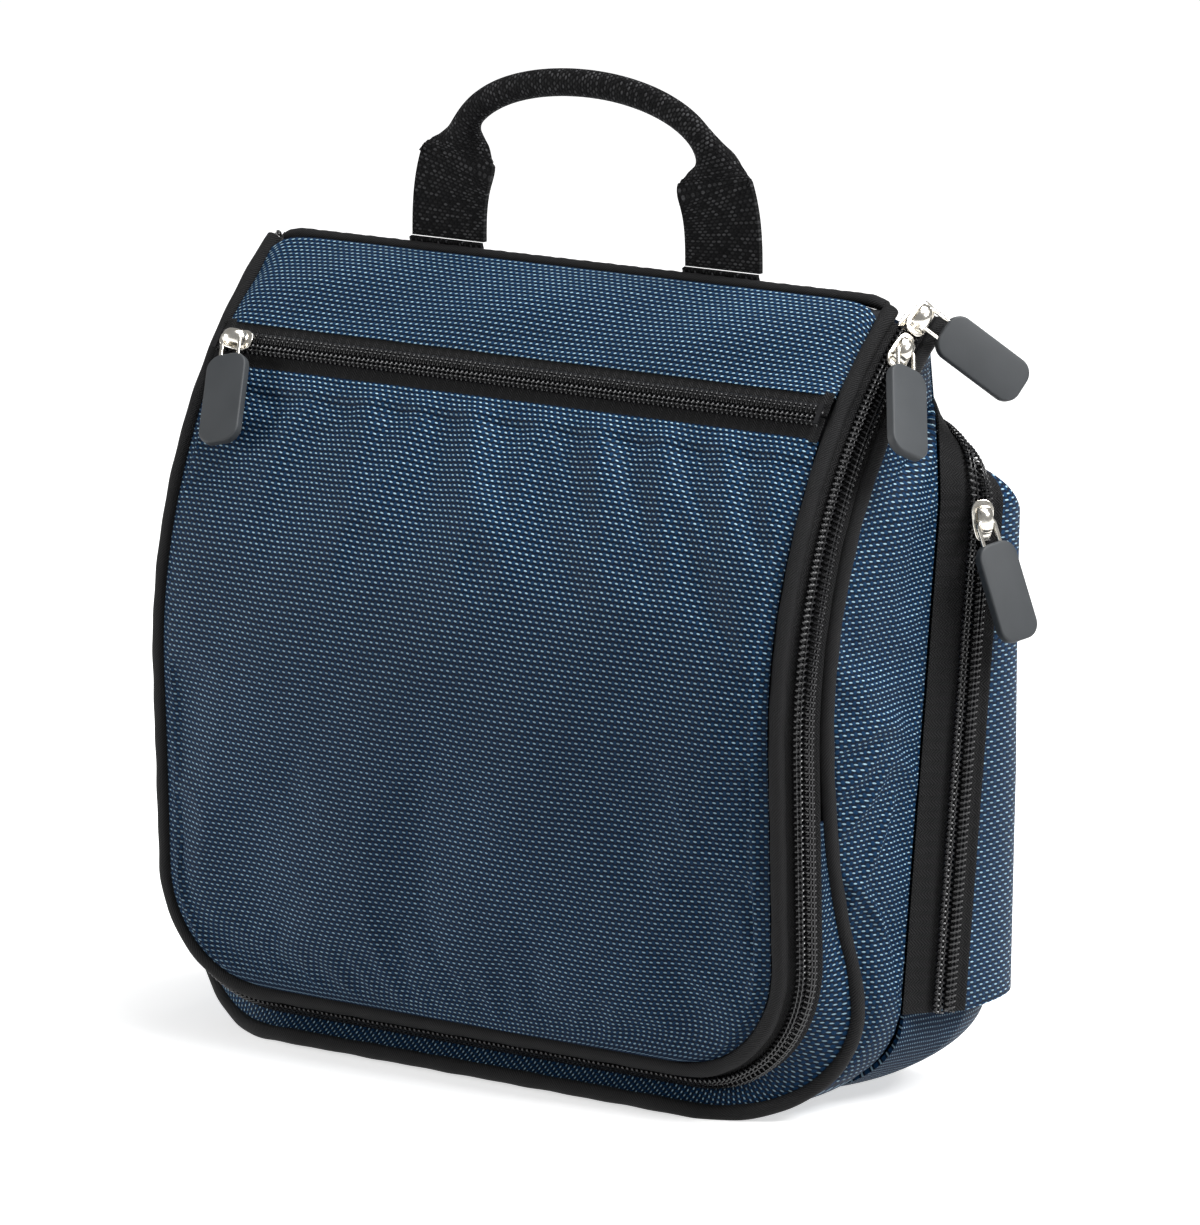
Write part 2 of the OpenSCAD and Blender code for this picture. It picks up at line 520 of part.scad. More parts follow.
// Frames for the four sliders: place, along, across and out
function frame_of(at, across_dir, out_dir) = [at, unit(cross(across_dir, out_dir)), across_dir, out_dir];
function main_frame(t) = let (e = edge(t))
    frame_of(edge_point(t, band(chain_at, tape_t / 2)[0], band(chain_at, tape_t / 2)[1]),
        band_dir[0] * e[1] + band_dir[1] * e[2], band_out[0] * e[1] + band_out[1] * e[2]);
slider_gap = 1.4;
upper_frame = main_frame(curve_stage(0.8));
lower_frame = main_frame(curve_stage(0.8 + slider_len + slider_gap));
rear_k = 0.97;
rear_frame = [zip_point(rear_k, 0, tape_t / 2), -1 * zip_along(rear_k), -1 * zip_across(rear_k), zip_out(rear_k)];
stop_w = 1.6;
pocket_slider_x = half_w - panel_inset - stop_w - 0.6 - slider_len / 2;
pocket_e = edge(pocket_zip_stage);
pocket_frame = frame_of([-pocket_slider_x, pocket_e[0][1], pocket_e[0][2]] + pocket_zip_q * pocket_e[2],
    unit(cross(pocket_e[2], [-1, 0, 0])), -1 * pocket_e[2]);

// How each pull hangs: the way down and the way its face looks
function pivot(f) = f[0] + pivot_h * f[3];
module hang(f, down_dir, face) {
    d = unit(down_dir);
    z = unit(face - (face * d) * d);
    place(pivot(f), unit(cross(-1 * d, z)), -1 * d, z) children();
}
function turn_of(f, down_dir) = atan2(down_dir * f[2], down_dir * f[1]);
lower_hang = [[0.39, -0.54, -0.75], [0.95, -0.3, 0.1]];
upper_hang = [[0.57, 0.55, -0.61], [0.85, -0.5, 0.2]];
rear_hang = [[0.34, 0.05, -1], [0.95, -0.3, 0.15]];
pocket_hang = [[0.27, -0.53, -0.8], [0, -0.83, 0.55]];
module draw_slider(f, y0, h) { color(metal) place(f[0], f[1], f[2], f[3]) slider(y0, turn_of(f, h[0])); }
module draw_link(f, h) { color(metal) hang(f, h[0], h[1]) link(); }
module draw_pull(f, h) { color(rubber) hang(f, h[0], h[1]) pull(); }
half_side = 0;

module main_slider_lower() { draw_slider(lower_frame, half_side, lower_hang); }
module main_link_lower() { draw_link(lower_frame, lower_hang); }
module main_pull_lower() { draw_pull(lower_frame, lower_hang); }
module main_slider_upper() { draw_slider(upper_frame, half_side, upper_hang); }
module main_link_upper() { draw_link(upper_frame, upper_hang); }
module main_pull_upper() { draw_pull(upper_frame, upper_hang); }
module rear_slider() { draw_slider(rear_frame, half_side, rear_hang); }
module rear_link() { draw_link(rear_frame, rear_hang); }
module rear_pull() { draw_pull(rear_frame, rear_hang); }
module pocket_slider() { draw_slider(pocket_frame, -slider_half_w, pocket_hang); }
module pocket_link() { draw_link(pocket_frame, pocket_hang); }
module pocket_pull() { draw_pull(pocket_frame, pocket_hang); }
module pocket_zip_stops() {
    color(black) for (side = [-1, 1])
        place([side * (half_w - panel_inset - stop_w / 2 - 0.1), pocket_frame[0][1], pocket_frame[0][2]],
            pocket_frame[1], pocket_frame[2], pocket_frame[3])
            translate([-stop_w / 2, -coil_off - coil_r, 2 * coil_r + 2 * sewn]) cube([stop_w, 2 * (coil_off + coil_r), 0.6]);
}

top_panel();
pocket_panel();
cover_backing();
cover_piping();
main_zip_cover_tape();
main_zip_cover_coil();
pocket_zip_upper_tape();
pocket_zip_lower_tape();
pocket_zip_upper_coil();
pocket_zip_lower_coil();
pocket_zip_stops();
gusset_right();
gusset_left();
bottom_panel();
base_board();
rear_base_panel();
upper_back_panel();
divider_wall();
front_fascia();
body_piping();
ridge_piping();
main_zip_body_tape();
main_zip_body_coil();
rear_zip_body_tape();
rear_zip_body_coil();
inner_pocket_mesh();
inner_pocket_binding();
handle_tails();
pouch_panel();
pouch_side_right();
pouch_side_left();
rear_zip_pouch_tape();
rear_zip_pouch_coil();
handle_leg_right();
handle_leg_left();
handle_grip();
main_slider_lower();
main_link_lower();
main_pull_lower();
main_slider_upper();
main_link_upper();
main_pull_upper();
pocket_slider();
pocket_link();
pocket_pull();
rear_slider();
rear_link();
rear_pull();
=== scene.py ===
# %% [markdown]
# # A hanging wash bag that stands on its own
# The bag has a curved front cover on a long zip, a flat pocket in the cover, a pouch behind, soft sides and
# a webbing handle. The frame already holds every part at its true size. Here each part gets its real
# surface: woven cloth, twill binding, coil zips, cast sliders and rubber pulls. Lengths are in metres.

# %% Load the frame
import json
import math

import bpy
import numpy as np
from mathutils import Matrix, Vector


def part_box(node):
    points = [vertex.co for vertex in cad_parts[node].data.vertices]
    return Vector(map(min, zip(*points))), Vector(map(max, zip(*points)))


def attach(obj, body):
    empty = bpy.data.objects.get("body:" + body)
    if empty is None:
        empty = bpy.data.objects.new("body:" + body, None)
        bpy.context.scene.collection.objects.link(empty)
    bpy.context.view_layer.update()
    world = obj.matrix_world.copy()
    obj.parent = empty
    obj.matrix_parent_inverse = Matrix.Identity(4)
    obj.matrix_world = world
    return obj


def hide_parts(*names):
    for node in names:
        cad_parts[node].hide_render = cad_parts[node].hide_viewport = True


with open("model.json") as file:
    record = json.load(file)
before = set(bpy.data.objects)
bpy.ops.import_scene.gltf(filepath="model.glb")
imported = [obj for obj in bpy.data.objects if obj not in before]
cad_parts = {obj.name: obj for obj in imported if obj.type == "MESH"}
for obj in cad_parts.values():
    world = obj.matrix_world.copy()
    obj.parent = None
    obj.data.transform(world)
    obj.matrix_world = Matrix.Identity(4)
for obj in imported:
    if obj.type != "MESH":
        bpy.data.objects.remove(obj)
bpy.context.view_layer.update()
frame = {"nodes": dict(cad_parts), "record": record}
body_of_node = {node: body for body, nodes in frame["record"]["behaviour"]["bodies"].items() for node in nodes}
MM = 0.001

# %% [markdown]
# ## Camera, floor and light
# A long lens from well back keeps the sides nearly parallel, as in a catalogue picture. The light is a big
# soft panel overhead and one from each side. The camera sees a white room, but a much dimmer one lights the
# bag, because the same white light would turn its dark cloth grey.

# %% Camera
AZIMUTH, ELEVATION = math.radians(36), math.radians(11.5)
AIM = np.array([16, 1, 152]) * MM
DISTANCE = 2.9
LENS = 255.7
toward_camera = np.array([math.sin(AZIMUTH) * math.cos(ELEVATION), -math.cos(AZIMUTH) * math.cos(ELEVATION),
                          math.sin(ELEVATION)])
bpy.ops.object.select_all(action="DESELECT")
bpy.ops.object.camera_add(location=AIM + DISTANCE * toward_camera, rotation=(math.pi / 2 - ELEVATION, 0, AZIMUTH))
camera = bpy.context.object
camera.data.sensor_width = 36
camera.data.lens = LENS
camera.data.clip_end = 50
bpy.context.scene.camera = camera
print("camera:", LENS, "mm lens,", DISTANCE, "m away")

# %% Lights and floor
def soft_light(name, place, side, watts):
    """A square soft box that faces the bag."""
    bpy.ops.object.light_add(type="AREA", location=place)
    light = bpy.context.object
    light.name = name
    light.data.size = side
    light.data.energy = watts
    aim = Matrix.Translation(AIM).translation - light.location
    light.rotation_euler = aim.to_track_quat("-Z", "Y").to_euler()


soft_light("overhead", (0.3, 0.3, 1.9), 1.0, 26)
soft_light("right_side", (1.5, 0.2, 1.5), 0.8, 40)
soft_light("left_side", (-1.8, -1.2, 0.45), 0.6, 17)
world = bpy.data.worlds.new("pale_room")
bpy.context.scene.world = world
world.use_nodes = True
room = world.node_tree
room.nodes["Background"].inputs["Color"].default_value = (1, 1, 1, 1)
ROOM_ON_BAG, ROOM_SEEN = 0.3, 1.05
seen = room.nodes.new("ShaderNodeMapRange")
room.links.new(room.nodes.new("ShaderNodeLightPath").outputs["Is Camera Ray"], seen.inputs[0])
seen.inputs[3].default_value, seen.inputs[4].default_value = ROOM_ON_BAG, ROOM_SEEN
room.links.new(seen.outputs[0], room.nodes["Background"].inputs["Strength"])
bpy.context.scene.view_settings.view_transform = "Standard"

bpy.ops.mesh.primitive_plane_add(size=8, location=(0, 0, -0.3 * MM))
floor = bpy.context.object
floor.name = "floor"
floor.visible_diffuse = False

# %% [markdown]
# ## Shader maths
# A weave is a repeating rule, so its finish is worked out as sums on the cloth's own UV map, which is laid
# out in metres. One small class wraps a socket so that a rule reads like ordinary arithmetic.

# %% A socket that adds and multiplies
class Shade:
    """A shader socket. Arithmetic on it adds Math nodes, and make() adds any other node."""

    def __init__(self, tree, socket=None):
        self.tree = tree
        self.socket = socket

    def make(self, kind, sockets=None, out=0, **settings):
        node = self.tree.nodes.new(kind)
        for name, value in settings.items():
            setattr(node, name, value)
        for key, value in (sockets or {}).items():
            if isinstance(value, Shade):
                self.tree.links.new(value.socket, node.inputs[key])
            else:
                node.inputs[key].default_value = value
        return Shade(self.tree, node.outputs[out])

    def math(self, operation, *values):
        return self.make("ShaderNodeMath", dict(enumerate(values)), operation=operation)

    def __add__(self, other):
        return self.math("ADD", self, other)

    def __sub__(self, other):
        return self.math("SUBTRACT", self, other)

    def __rsub__(self, other):
        return self.math("SUBTRACT", other, self)

    def __mul__(self, other):
        return self.math("MULTIPLY", self, other)

    def __truediv__(self, other):
        return self.math("DIVIDE", self, other)

    __radd__ = __add__
    __rmul__ = __mul__

    def parts(self):
        """The first two numbers of a vector."""
        node = self.tree.nodes.new("ShaderNodeSeparateXYZ")
        self.tree.links.new(self.socket, node.inputs[0])
        return Shade(self.tree, node.outputs[0]), Shade(self.tree, node.outputs[1])

    def wave(self, period):
        """Rises and falls between 0 and 1 once in each period."""
        return self.math("SINE", self * (2 * math.pi / period)) * 0.5 + 0.5

    def ramp(self, low, high):
        """0 below low, 1 above high and smooth between."""
        return self.make("ShaderNodeMapRange", {0: self, 1: low, 2: high, 3: 0.0, 4: 1.0},
                         interpolation_type="SMOOTHSTEP")

    def blend(self, first, second):
        """First where this mask is 0 and second where it is 1."""
        colours = {6: first, 7: second}
        return self.make("ShaderNodeMix", {0: self, **colours}, out=2, data_type="RGBA")


def finish(name, rule, **constants):
    """A Principled material: constants are set on its own sockets, and the rule gives what varies."""
    material = bpy.data.materials.new(name)
    material.use_nodes = True
    tree = material.node_tree
    principled = tree.nodes["Principled BSDF"]
    for socket, value in constants.items():
        principled.inputs[socket.replace("_", " ")].default_value = value
    for socket, value in rule(Shade(tree)).items():
        if isinstance(value, Shade):
            tree.links.new(value.socket, principled.inputs[socket])
        else:
            principled.inputs[socket].default_value = value
    return material


def bump(shade, height, depth, strength=1.0):
    """A surface that seems to rise by depth where height is 1."""
    return shade.make("ShaderNodeBump", {"Strength": strength, "Distance": depth, "Height": height})


def cloth_uv(shade):
    """Places on the cloth in metres, drawn a little out of true so that no thread runs dead straight."""
    along, up = shade.make("ShaderNodeTexCoord", out="UV").parts()
    place = shade.make("ShaderNodeTexCoord", out="UV")
    drift = shade.make("ShaderNodeTexNoise", {"Vector": place, "Scale": 35.0, "Detail": 1.0}) - 0.5
    return along + drift * (1.2 * MM), up + drift * (0.9 * MM)


# %% [markdown]
# ## Finishes
# The blue cloth is a two-tone polyester: pale floats lie in rows on dark ground, each row half a step over.
# The binding is a fine black twill, the zip tapes a herringbone, and the handle a coarse ribbed webbing.

# %% Blue cloth
FLOAT_STEP, ROW_STEP = 2.47 * MM, 1.72 * MM
NAVY = (0.002, 0.008, 0.022, 1)
MID_BLUE = (0.005, 0.046, 0.125, 1)
PALE_BLUE = (0.52, 0.78, 0.95, 1)


def bricks(shade, along, up, step, row):
    """Cells of a brick lattice: the place within a cell, each -0.5 to 0.5, and a number that is its own."""
    line = up / row
    cell = along / step + shade.math("MODULO", shade.math("FLOOR", line), 2.0) * 0.5
    number = shade.make("ShaderNodeTexWhiteNoise", {"Vector": shade.make("ShaderNodeCombineXYZ", {
        0: shade.math("FLOOR", cell), 1: shade.math("FLOOR", line)})}, noise_dimensions="2D")
    return shade.math("FRACT", cell) - 0.5, shade.math("FRACT", line) - 0.5, number


def oval(x, y, width, height):
    """0 at the middle of an oval, 1 on its edge and more outside it."""
    x, y = x / width, y / height
    return x * x + y * y


def blue_weave(shade):
    along, up = cloth_uv(shade)
    x, y, number = bricks(shade, along, up, FLOAT_STEP, ROW_STEP)
    float_mask = 1 - oval(x, y + x * 0.22, 0.31, 0.21).ramp(0.25, 0.95)
    x2, y2, _ = bricks(shade, along + FLOAT_STEP / 2, up, FLOAT_STEP, ROW_STEP)
    warp_mask = 1 - oval(x2, y2, 0.3, 0.5).ramp(0.3, 1.1)
    threads = along.wave(FLOAT_STEP / 6) * 0.25 + 0.75
    place = shade.make("ShaderNodeTexCoord", out="UV")
    patch = shade.make("ShaderNodeTexNoise", {"Vector": place, "Scale": 14.0, "Detail": 2.0})
    ground = (warp_mask * threads * (0.55 + patch * 0.7)).blend(NAVY, MID_BLUE)
    colour = (float_mask * (0.45 + number * 0.3 + patch * 0.35)).blend(ground, PALE_BLUE)
    height = float_mask + warp_mask * 0.45
    return {"Base Color": colour, "Roughness": 0.62 - float_mask * 0.2,
            "Normal": bump(shade, height * threads, 0.45 * MM, 0.75)}


blue_cloth = finish("blue_cloth", blue_weave, Specular_IOR_Level=0.12)

# %% Black binding, zip tape, webbing and lining
BLACK = (0.003, 0.003, 0.0035, 1)
SOOT = (0.02, 0.02, 0.021, 1)
# GLINT is a painted highlight: the bright specks of light that the shiny webbing thread catches, painted into its
# colour.
GLINT = (0.11, 0.11, 0.115, 1)


def twill(shade):
    along, across = cloth_uv(shade)
    rib = (along + across).wave(0.95 * MM)
    thread = (along - across).wave(0.42 * MM)
    return {"Base Color": (rib * (0.35 + thread * 0.65)).blend(BLACK, SOOT), "Roughness": 0.72 - rib * 0.12,
            "Normal": bump(shade, rib + thread * 0.35, 0.22 * MM, 0.8)}


def herringbone(shade):
    along, across = cloth_uv(shade)
    side = shade.math("PINGPONG", across, 1.9 * MM)
    rib = (along + side).wave(1.05 * MM)
    thread = across.wave(0.5 * MM)
    return {"Base Color": (rib * (0.4 + thread * 0.5)).blend(BLACK, SOOT), "Roughness": 0.75 - rib * 0.1,
            "Normal": bump(shade, rib + thread * 0.3, 0.25 * MM, 0.8)}


def ribbed_webbing(shade):
    along, across = cloth_uv(shade)
    x, y, number = bricks(shade, across, along, 2.1 * MM, 1.15 * MM)
    pip = 1 - oval(x, y, 0.42, 0.42).ramp(0.3, 1.1)
    strand = along.wave(0.4 * MM)
    # The few brightest pips are painted glints in GLINT, not a colour of the thread.
    return {"Base Color": (pip * number * number * (0.5 + strand * 0.5)).blend(BLACK, GLINT),
            "Roughness": 0.75 - pip * number * 0.3, "Normal": bump(shade, pip + strand * 0.15, 0.5 * MM, 0.9)}


def plain_lining(shade):
    along, across = cloth_uv(shade)
    weave = along.wave(0.6 * MM) * across.wave(0.6 * MM)
    return {"Base Color": weave.blend((0.012, 0.013, 0.015, 1), (0.045, 0.047, 0.052, 1)),
            "Roughness": 0.55, "Normal": bump(shade, weave, 0.12 * MM, 0.6)}


def netting(shade):
    along, across = shade.make("ShaderNodeTexCoord", out="UV").parts()
    x, y, _ = bricks(shade, along, across, 2.2 * MM, 1.9 * MM)
    hole = 1 - (x * x + y * y).ramp(0.085, 0.12)
    return {"Base Color": SOOT, "Alpha": 1 - hole, "Roughness": 0.6}


binding_twill = finish("binding_twill", twill, Specular_IOR_Level=0.2)
tape_cloth = finish("tape_cloth", herringbone, Specular_IOR_Level=0.2)
handle_webbing = finish("handle_webbing", ribbed_webbing, Specular_IOR_Level=0.12)
lining_cloth = finish("lining_cloth", plain_lining)
net_cloth = finish("net_cloth", netting)

# %% Nylon coil, nickel, rubber and board
def object_noise(shade, scale, detail=3.0):
    place = shade.make("ShaderNodeTexCoord", out="Object")
    return shade.make("ShaderNodeTexNoise", {"Vector": place, "Scale": scale, "Detail": detail})


def nylon(shade):
    speck = object_noise(shade, 900.0)
    return {"Base Color": speck.blend((0.004, 0.004, 0.005, 1), (0.016, 0.016, 0.018, 1)),
            "Roughness": 0.16 + speck * 0.16}


def nickel_plate(shade):
    wear = object_noise(shade, 420.0)
    dimple = object_noise(shade, 1500.0)
    return {"Base Color": wear.blend((0.74, 0.69, 0.6, 1), (0.86, 0.84, 0.79, 1)), "Roughness": 0.12 + wear * 0.18,
            "Normal": bump(shade, dimple, 0.05 * MM, 0.5)}


def soft_rubber(shade):
    grain = object_noise(shade, 2600.0, 2.0)
    smear = object_noise(shade, 90.0)
    return {"Base Color": smear.blend((0.036, 0.040, 0.044, 1), (0.055, 0.060, 0.065, 1)),
            "Roughness": 0.5 + smear * 0.12, "Normal": bump(shade, grain, 0.03 * MM, 0.5)}


def grey_board(shade):
    fibre = object_noise(shade, 300.0, 6.0)
    return {"Base Color": fibre.blend((0.12, 0.12, 0.12, 1), (0.2, 0.2, 0.19, 1)), "Roughness": 0.85}


coil_nylon = finish("coil_nylon", nylon, Specular_IOR_Level=0.6)
nickel = finish("nickel", nickel_plate, Metallic=1.0)
pull_rubber = finish("pull_rubber", soft_rubber, Specular_IOR_Level=0.4)
board = finish("board", grey_board)
FLOOR_GLOW = 0.6
floor.data.materials.append(finish("floor", lambda shade: {
    "Base Color": object_noise(shade, 3.0).blend((0.9, 0.9, 0.9, 1), (0.93, 0.93, 0.93, 1)), "Roughness": 0.9},
    Emission_Color=(1, 1, 1, 1), Emission_Strength=FLOOR_GLOW))
print("finishes:", ", ".join(material.name for material in bpy.data.materials))

# %% [markdown]
# ## From a flat grid to a sewn panel
# Each panel starts as a flat grid, as cloth starts flat, and a rule puts its points in place on the bag. Its
# UV map is in metres, so that the weave keeps its true size. A wall is then added with Solidify.

# %% Tools for panels, tubes and copies
def unit(vector):
    return vector / np.linalg.norm(vector, axis=-1, keepdims=True)


def points_of(piece):
    points = np.empty(len(piece.data.vertices) * 3)
    piece.data.vertices.foreach_get("co", points)
    return points.reshape(-1, 3)


def put_points(piece, points):
    piece.data.vertices.foreach_set("co", points.ravel())
    piece.data.update()


def lay_uv(piece, flat):
    """Gives each vertex its place on the flat cloth, in metres."""
    corner = np.empty(len(piece.data.loops), int)
    piece.data.loops.foreach_get("vertex_index", corner)
    piece.data.uv_layers.active.data.foreach_set("uv", flat[corner].ravel())


def run_along(points):
    """How far each point of a line is from its first."""
    return np.concatenate([[0], np.cumsum(np.linalg.norm(np.diff(points, axis=0), axis=1))])


def flat_lengths(place, u, v, steps=200):
    """How far each point is along and up the cloth, measured through its middle."""
    even, half = np.linspace(0, 1, steps), np.full(steps, 0.5)
    along, up = run_along(place(even, half)), run_along(place(half, even))
    return np.stack([np.interp(u, even, along), np.interp(v, even, up)], axis=1)


def pick(*pieces):
    """Selects these pieces and no others, and makes the first the active one."""
    bpy.ops.object.select_all(action="DESELECT")
    for piece in pieces:
        piece.select_set(True)
    bpy.context.view_layer.objects.active = pieces[0]


def edit(piece, *steps):
    """Runs edit-mode steps on the whole of one piece."""
    pick(piece)
    bpy.ops.object.mode_set(mode="EDIT")
    bpy.ops.mesh.select_all(action="SELECT")
    for step in steps:
        step()
    bpy.ops.object.mode_set(mode="OBJECT")


def modify(piece, kind, **settings):
    """Adds a modifier and applies it at once."""
    modifier = piece.modifiers.new(kind.title(), kind)
    for name, value in settings.items():
        setattr(modifier, name, value)
    pick(piece)
    bpy.ops.object.modifier_apply(modifier=modifier.name)


def smooth(piece, angle=50):
    pick(piece)
    bpy.ops.object.shade_smooth_by_angle(angle=math.radians(angle))


# Cloth with its lining: thinnest on the cover, firmer on the back and base, and firmest round the sides.
THIN_CLOTH, MID_CLOTH, FIRM_CLOTH = 1.2 * MM, 1.5 * MM, 1.6 * MM
# Each panel's (u, v) shares, kept so that its sewn edges can be found again.
shares = {}


def skin(name, columns, rows, place, outward=None, wall=0.0, flat=None, tube=False):
    """A grid whose points a rule of (u, v) puts in place. outward turns an open sheet to face that way."""
    bpy.ops.object.select_all(action="DESELECT")
    bpy.ops.mesh.primitive_grid_add(x_subdivisions=columns, y_subdivisions=rows, size=2, calc_uvs=True)
    piece = bpy.context.object
    piece.name = piece.data.name = name
    start = points_of(piece)
    u, v = (start[:, 0] + 1) / 2, (start[:, 1] + 1) / 2
    shares[name] = u, v
    put_points(piece, place(u, v))
    lay_uv(piece, flat(u, v) if flat else flat_lengths(place, u, v))
    if tube:
        edit(piece, lambda: bpy.ops.mesh.remove_doubles(threshold=0.001 * MM),
             lambda: bpy.ops.mesh.fill_holes(sides=64),
             lambda: bpy.ops.mesh.normals_make_consistent(inside=False))
    else:
        normals = np.empty(len(piece.data.polygons) * 3)
        piece.data.polygons.foreach_get("normal", normals)
        if (normals.reshape(-1, 3) @ np.array(outward, float)).sum() < 0:
            edit(piece, lambda: bpy.ops.mesh.flip_normals())
    if wall:
        modify(piece, "SOLIDIFY", thickness=wall, offset=-1.0)
    smooth(piece)
    return piece


def tube(name, length_steps, sides, line, radius):
    """A tube round a line: line(u) gives its places, one way across it and the other way across it."""
    def place(u, v):
        centre, side, up = line(v)
        turn = (2 * math.pi * u)[:, None]
        thick = radius(v)[:, None] if callable(radius) else radius
        return centre + thick * (np.cos(turn) * side + np.sin(turn) * up)

    def flat(u, v):
        size = radius if not callable(radius) else radius(v)
        return np.stack([v * length_of(lambda s: line(s)[0]), u * 2 * math.pi * size], axis=1)
    return skin(name, sides, length_steps, place, flat=flat, tube=True)


def length_of(path, steps=600):
    return np.linalg.norm(np.diff(path(np.linspace(0, 1, steps)), axis=0), axis=1).sum()


def even(path, first, last, steps=900):
    """A rule that turns a share of a path's length into its stage, so that points lie evenly along it."""
    stages = np.linspace(first, last, steps)
    run = run_along(path(stages))
    return lambda share: np.interp(share, run / run[-1], stages)


def coat(piece, material):
    piece.data.materials.clear()
    piece.data.materials.append(material)


def hand_over(piece, material, slot, *nodes):
    """Gives a finished piece its material, and lets it stand for its nodes on their body. slot is not used."""
    coat(piece, material)
    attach(piece, body_of_node[nodes[0]])
    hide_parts(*nodes)
    print(piece.name, len(piece.data.polygons), "faces")
    return piece


def copied(model, name, place):
    """A copy with its own mesh, put in place by a matrix."""
    piece = bpy.data.objects.new(name, model.data.copy())
    bpy.context.scene.collection.objects.link(piece)
    piece.data.name = name
    piece.data.transform(place)
    return piece


def mirrored(piece, name):
    """The left-hand twin of a right-hand piece."""
    twin = copied(piece, name, Matrix.Scale(-1, 4, (1, 0, 0)))
    twin.data.flip_normals()
    return twin


# %% [markdown]
# ## The seam line that everything follows
# The cover's edge runs down each side on a round curve, then straight, round a corner and along the bottom.
# Stages count along it: 0 at the ridge, 1 where the curve ends, 2 above the corner, 3 below it, 4 at the
# middle of the bottom, and on to 8 at the ridge on the left. At each stage p is out and q is into the bag.

# %% The cover's edge
PIPING_R = 2.6 * MM
HALF_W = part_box("cover_piping")[1].x - PIPING_R
FRONT_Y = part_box("cover_piping")[0].y
RIDGE_Z, CURVE_R, CURVE_Z = 268 * MM, 175 * MM, 130 * MM
LEAN, CORNER_R, COVER_DROP = math.radians(2), 40 * MM, 17 * MM
ARC_Y = FRONT_Y + CURVE_R
TOP_ANGLE = math.asin((RIDGE_Z - CURVE_Z) / CURVE_R)
DOWN = np.array([0, math.sin(LEAN), -math.cos(LEAN)])
X_WAY = np.array([1.0, 0, 0])
SIDE = (CURVE_Z - CURVE_R * math.sin(LEAN) - COVER_DROP) / math.cos(LEAN) - CORNER_R
STAGE_MM = MM / (CURVE_R * (TOP_ANGLE + LEAN))


def flipped(left):
    """Multiplies a right-hand place to give its left-hand twin wherever left is true."""
    return np.where(left, -1, 1)[:, None] * X_WAY + np.array([0, 1, 1])


def seam(stage):
    """The place of the cover's edge, the way out of the cover and the way into the bag."""
    stage = np.atleast_1d(np.asarray(stage, float))
    left = stage > 4
    s = np.where(left, 8 - stage, stage)[:, None]
    turn = TOP_ANGLE - (LEAN + TOP_ANGLE) * np.minimum(s, 1)
    corner = np.clip(s - 2, 0, 1) * math.pi / 2
    out = np.cos(corner) * X_WAY + np.sin(corner) * DOWN
    place = np.hstack([0 * s + HALF_W, ARC_Y - CURVE_R * np.cos(turn), CURVE_Z + CURVE_R * np.sin(turn)])
    place = place + np.clip(s - 1, 0, 1) * SIDE * DOWN + CORNER_R * (out - X_WAY)
    place = place - np.clip(s - 3, 0, 1) * (HALF_W - CORNER_R) * X_WAY
    into = np.hstack([0 * s, np.cos(turn), -np.sin(turn)])
    flip = flipped(left)
    return place * flip, out * flip, into * flip


def seam_point(stage, p, q):
    place, out, into = seam(stage)
    return place + np.reshape(p, (-1, 1)) * out + np.reshape(q, (-1, 1)) * into


print("cover's edge, ridge to ridge:", round(length_of(lambda share: seam(8 * share)[0]) / MM), "mm")

# %% The zip band and the body's rim beside it
BAND_ANGLE = math.radians(58)
BAND_LEN, CHAIN_AT, TAPE_T = 16.5 * MM, 8.6 * MM, 0.8 * MM
BAND_P, BAND_Q = math.cos(BAND_ANGLE), math.sin(BAND_ANGLE)


def band(s, h):
    """A place on the band beside the cover, s across it and h above it, as p and q."""
    return s * BAND_P + h * BAND_Q, PIPING_R + s * BAND_Q - h * BAND_P


def eased(stages, values, reach=0.16):
    """Values between stages, with the bends between them rounded off."""
    return lambda s: np.mean([np.interp(s + d, stages, values) for d in np.linspace(-reach, reach, 9)], axis=0)


RIM_P0, RIM_Q0 = band(BAND_LEN, 0)
rim_p = eased([0, 2, 2.4, 2.67, 3, 4], [RIM_P0, RIM_P0, 19 * MM, 20 * MM, 14 * MM, 14 * MM])
rim_q = eased([0, 1, 1.5, 2, 2.4, 2.67, 3, 4], [RIM_Q0, 18 * MM, 20 * MM, 28 * MM, 32 * MM, 20 * MM, 4 * MM, 4 * MM])


def half_stage(stage):
    """The right-hand stage that matches a stage on either side."""
    return np.minimum(stage, 8 - np.asarray(stage, float))


def rim_point(stage, p=0.0, q=0.0):
    half = half_stage(stage)
    return seam_point(stage, rim_p(half) + p, rim_q(half) + q)


# %% The rear zip's line: 0 to 1 up the side, 2 past the shoulder, 3 mid top, 6 at the left foot
BACK_Y, SEAM_Z = 57 * MM, 33 * MM
POUCH_HALF_W = 157 * MM
ZIP_X = POUCH_HALF_W - 7 * MM
ZIP_LOW = np.array([ZIP_X, BACK_Y - 50 * MM, SEAM_Z + 0.5 * MM])
ZIP_HIGH = np.array([ZIP_X, BACK_Y - 30 * MM, RIDGE_Z - 68 * MM])
ZIP_TOP = np.array([ZIP_X - 26 * MM, BACK_Y - 15 * MM, RIDGE_Z - 49 * MM])
SIDE_ACROSS = unit(np.array([0.62, 0.78, 0]))
TOP_ACROSS = unit(np.array([0, 0.35, -0.94]))


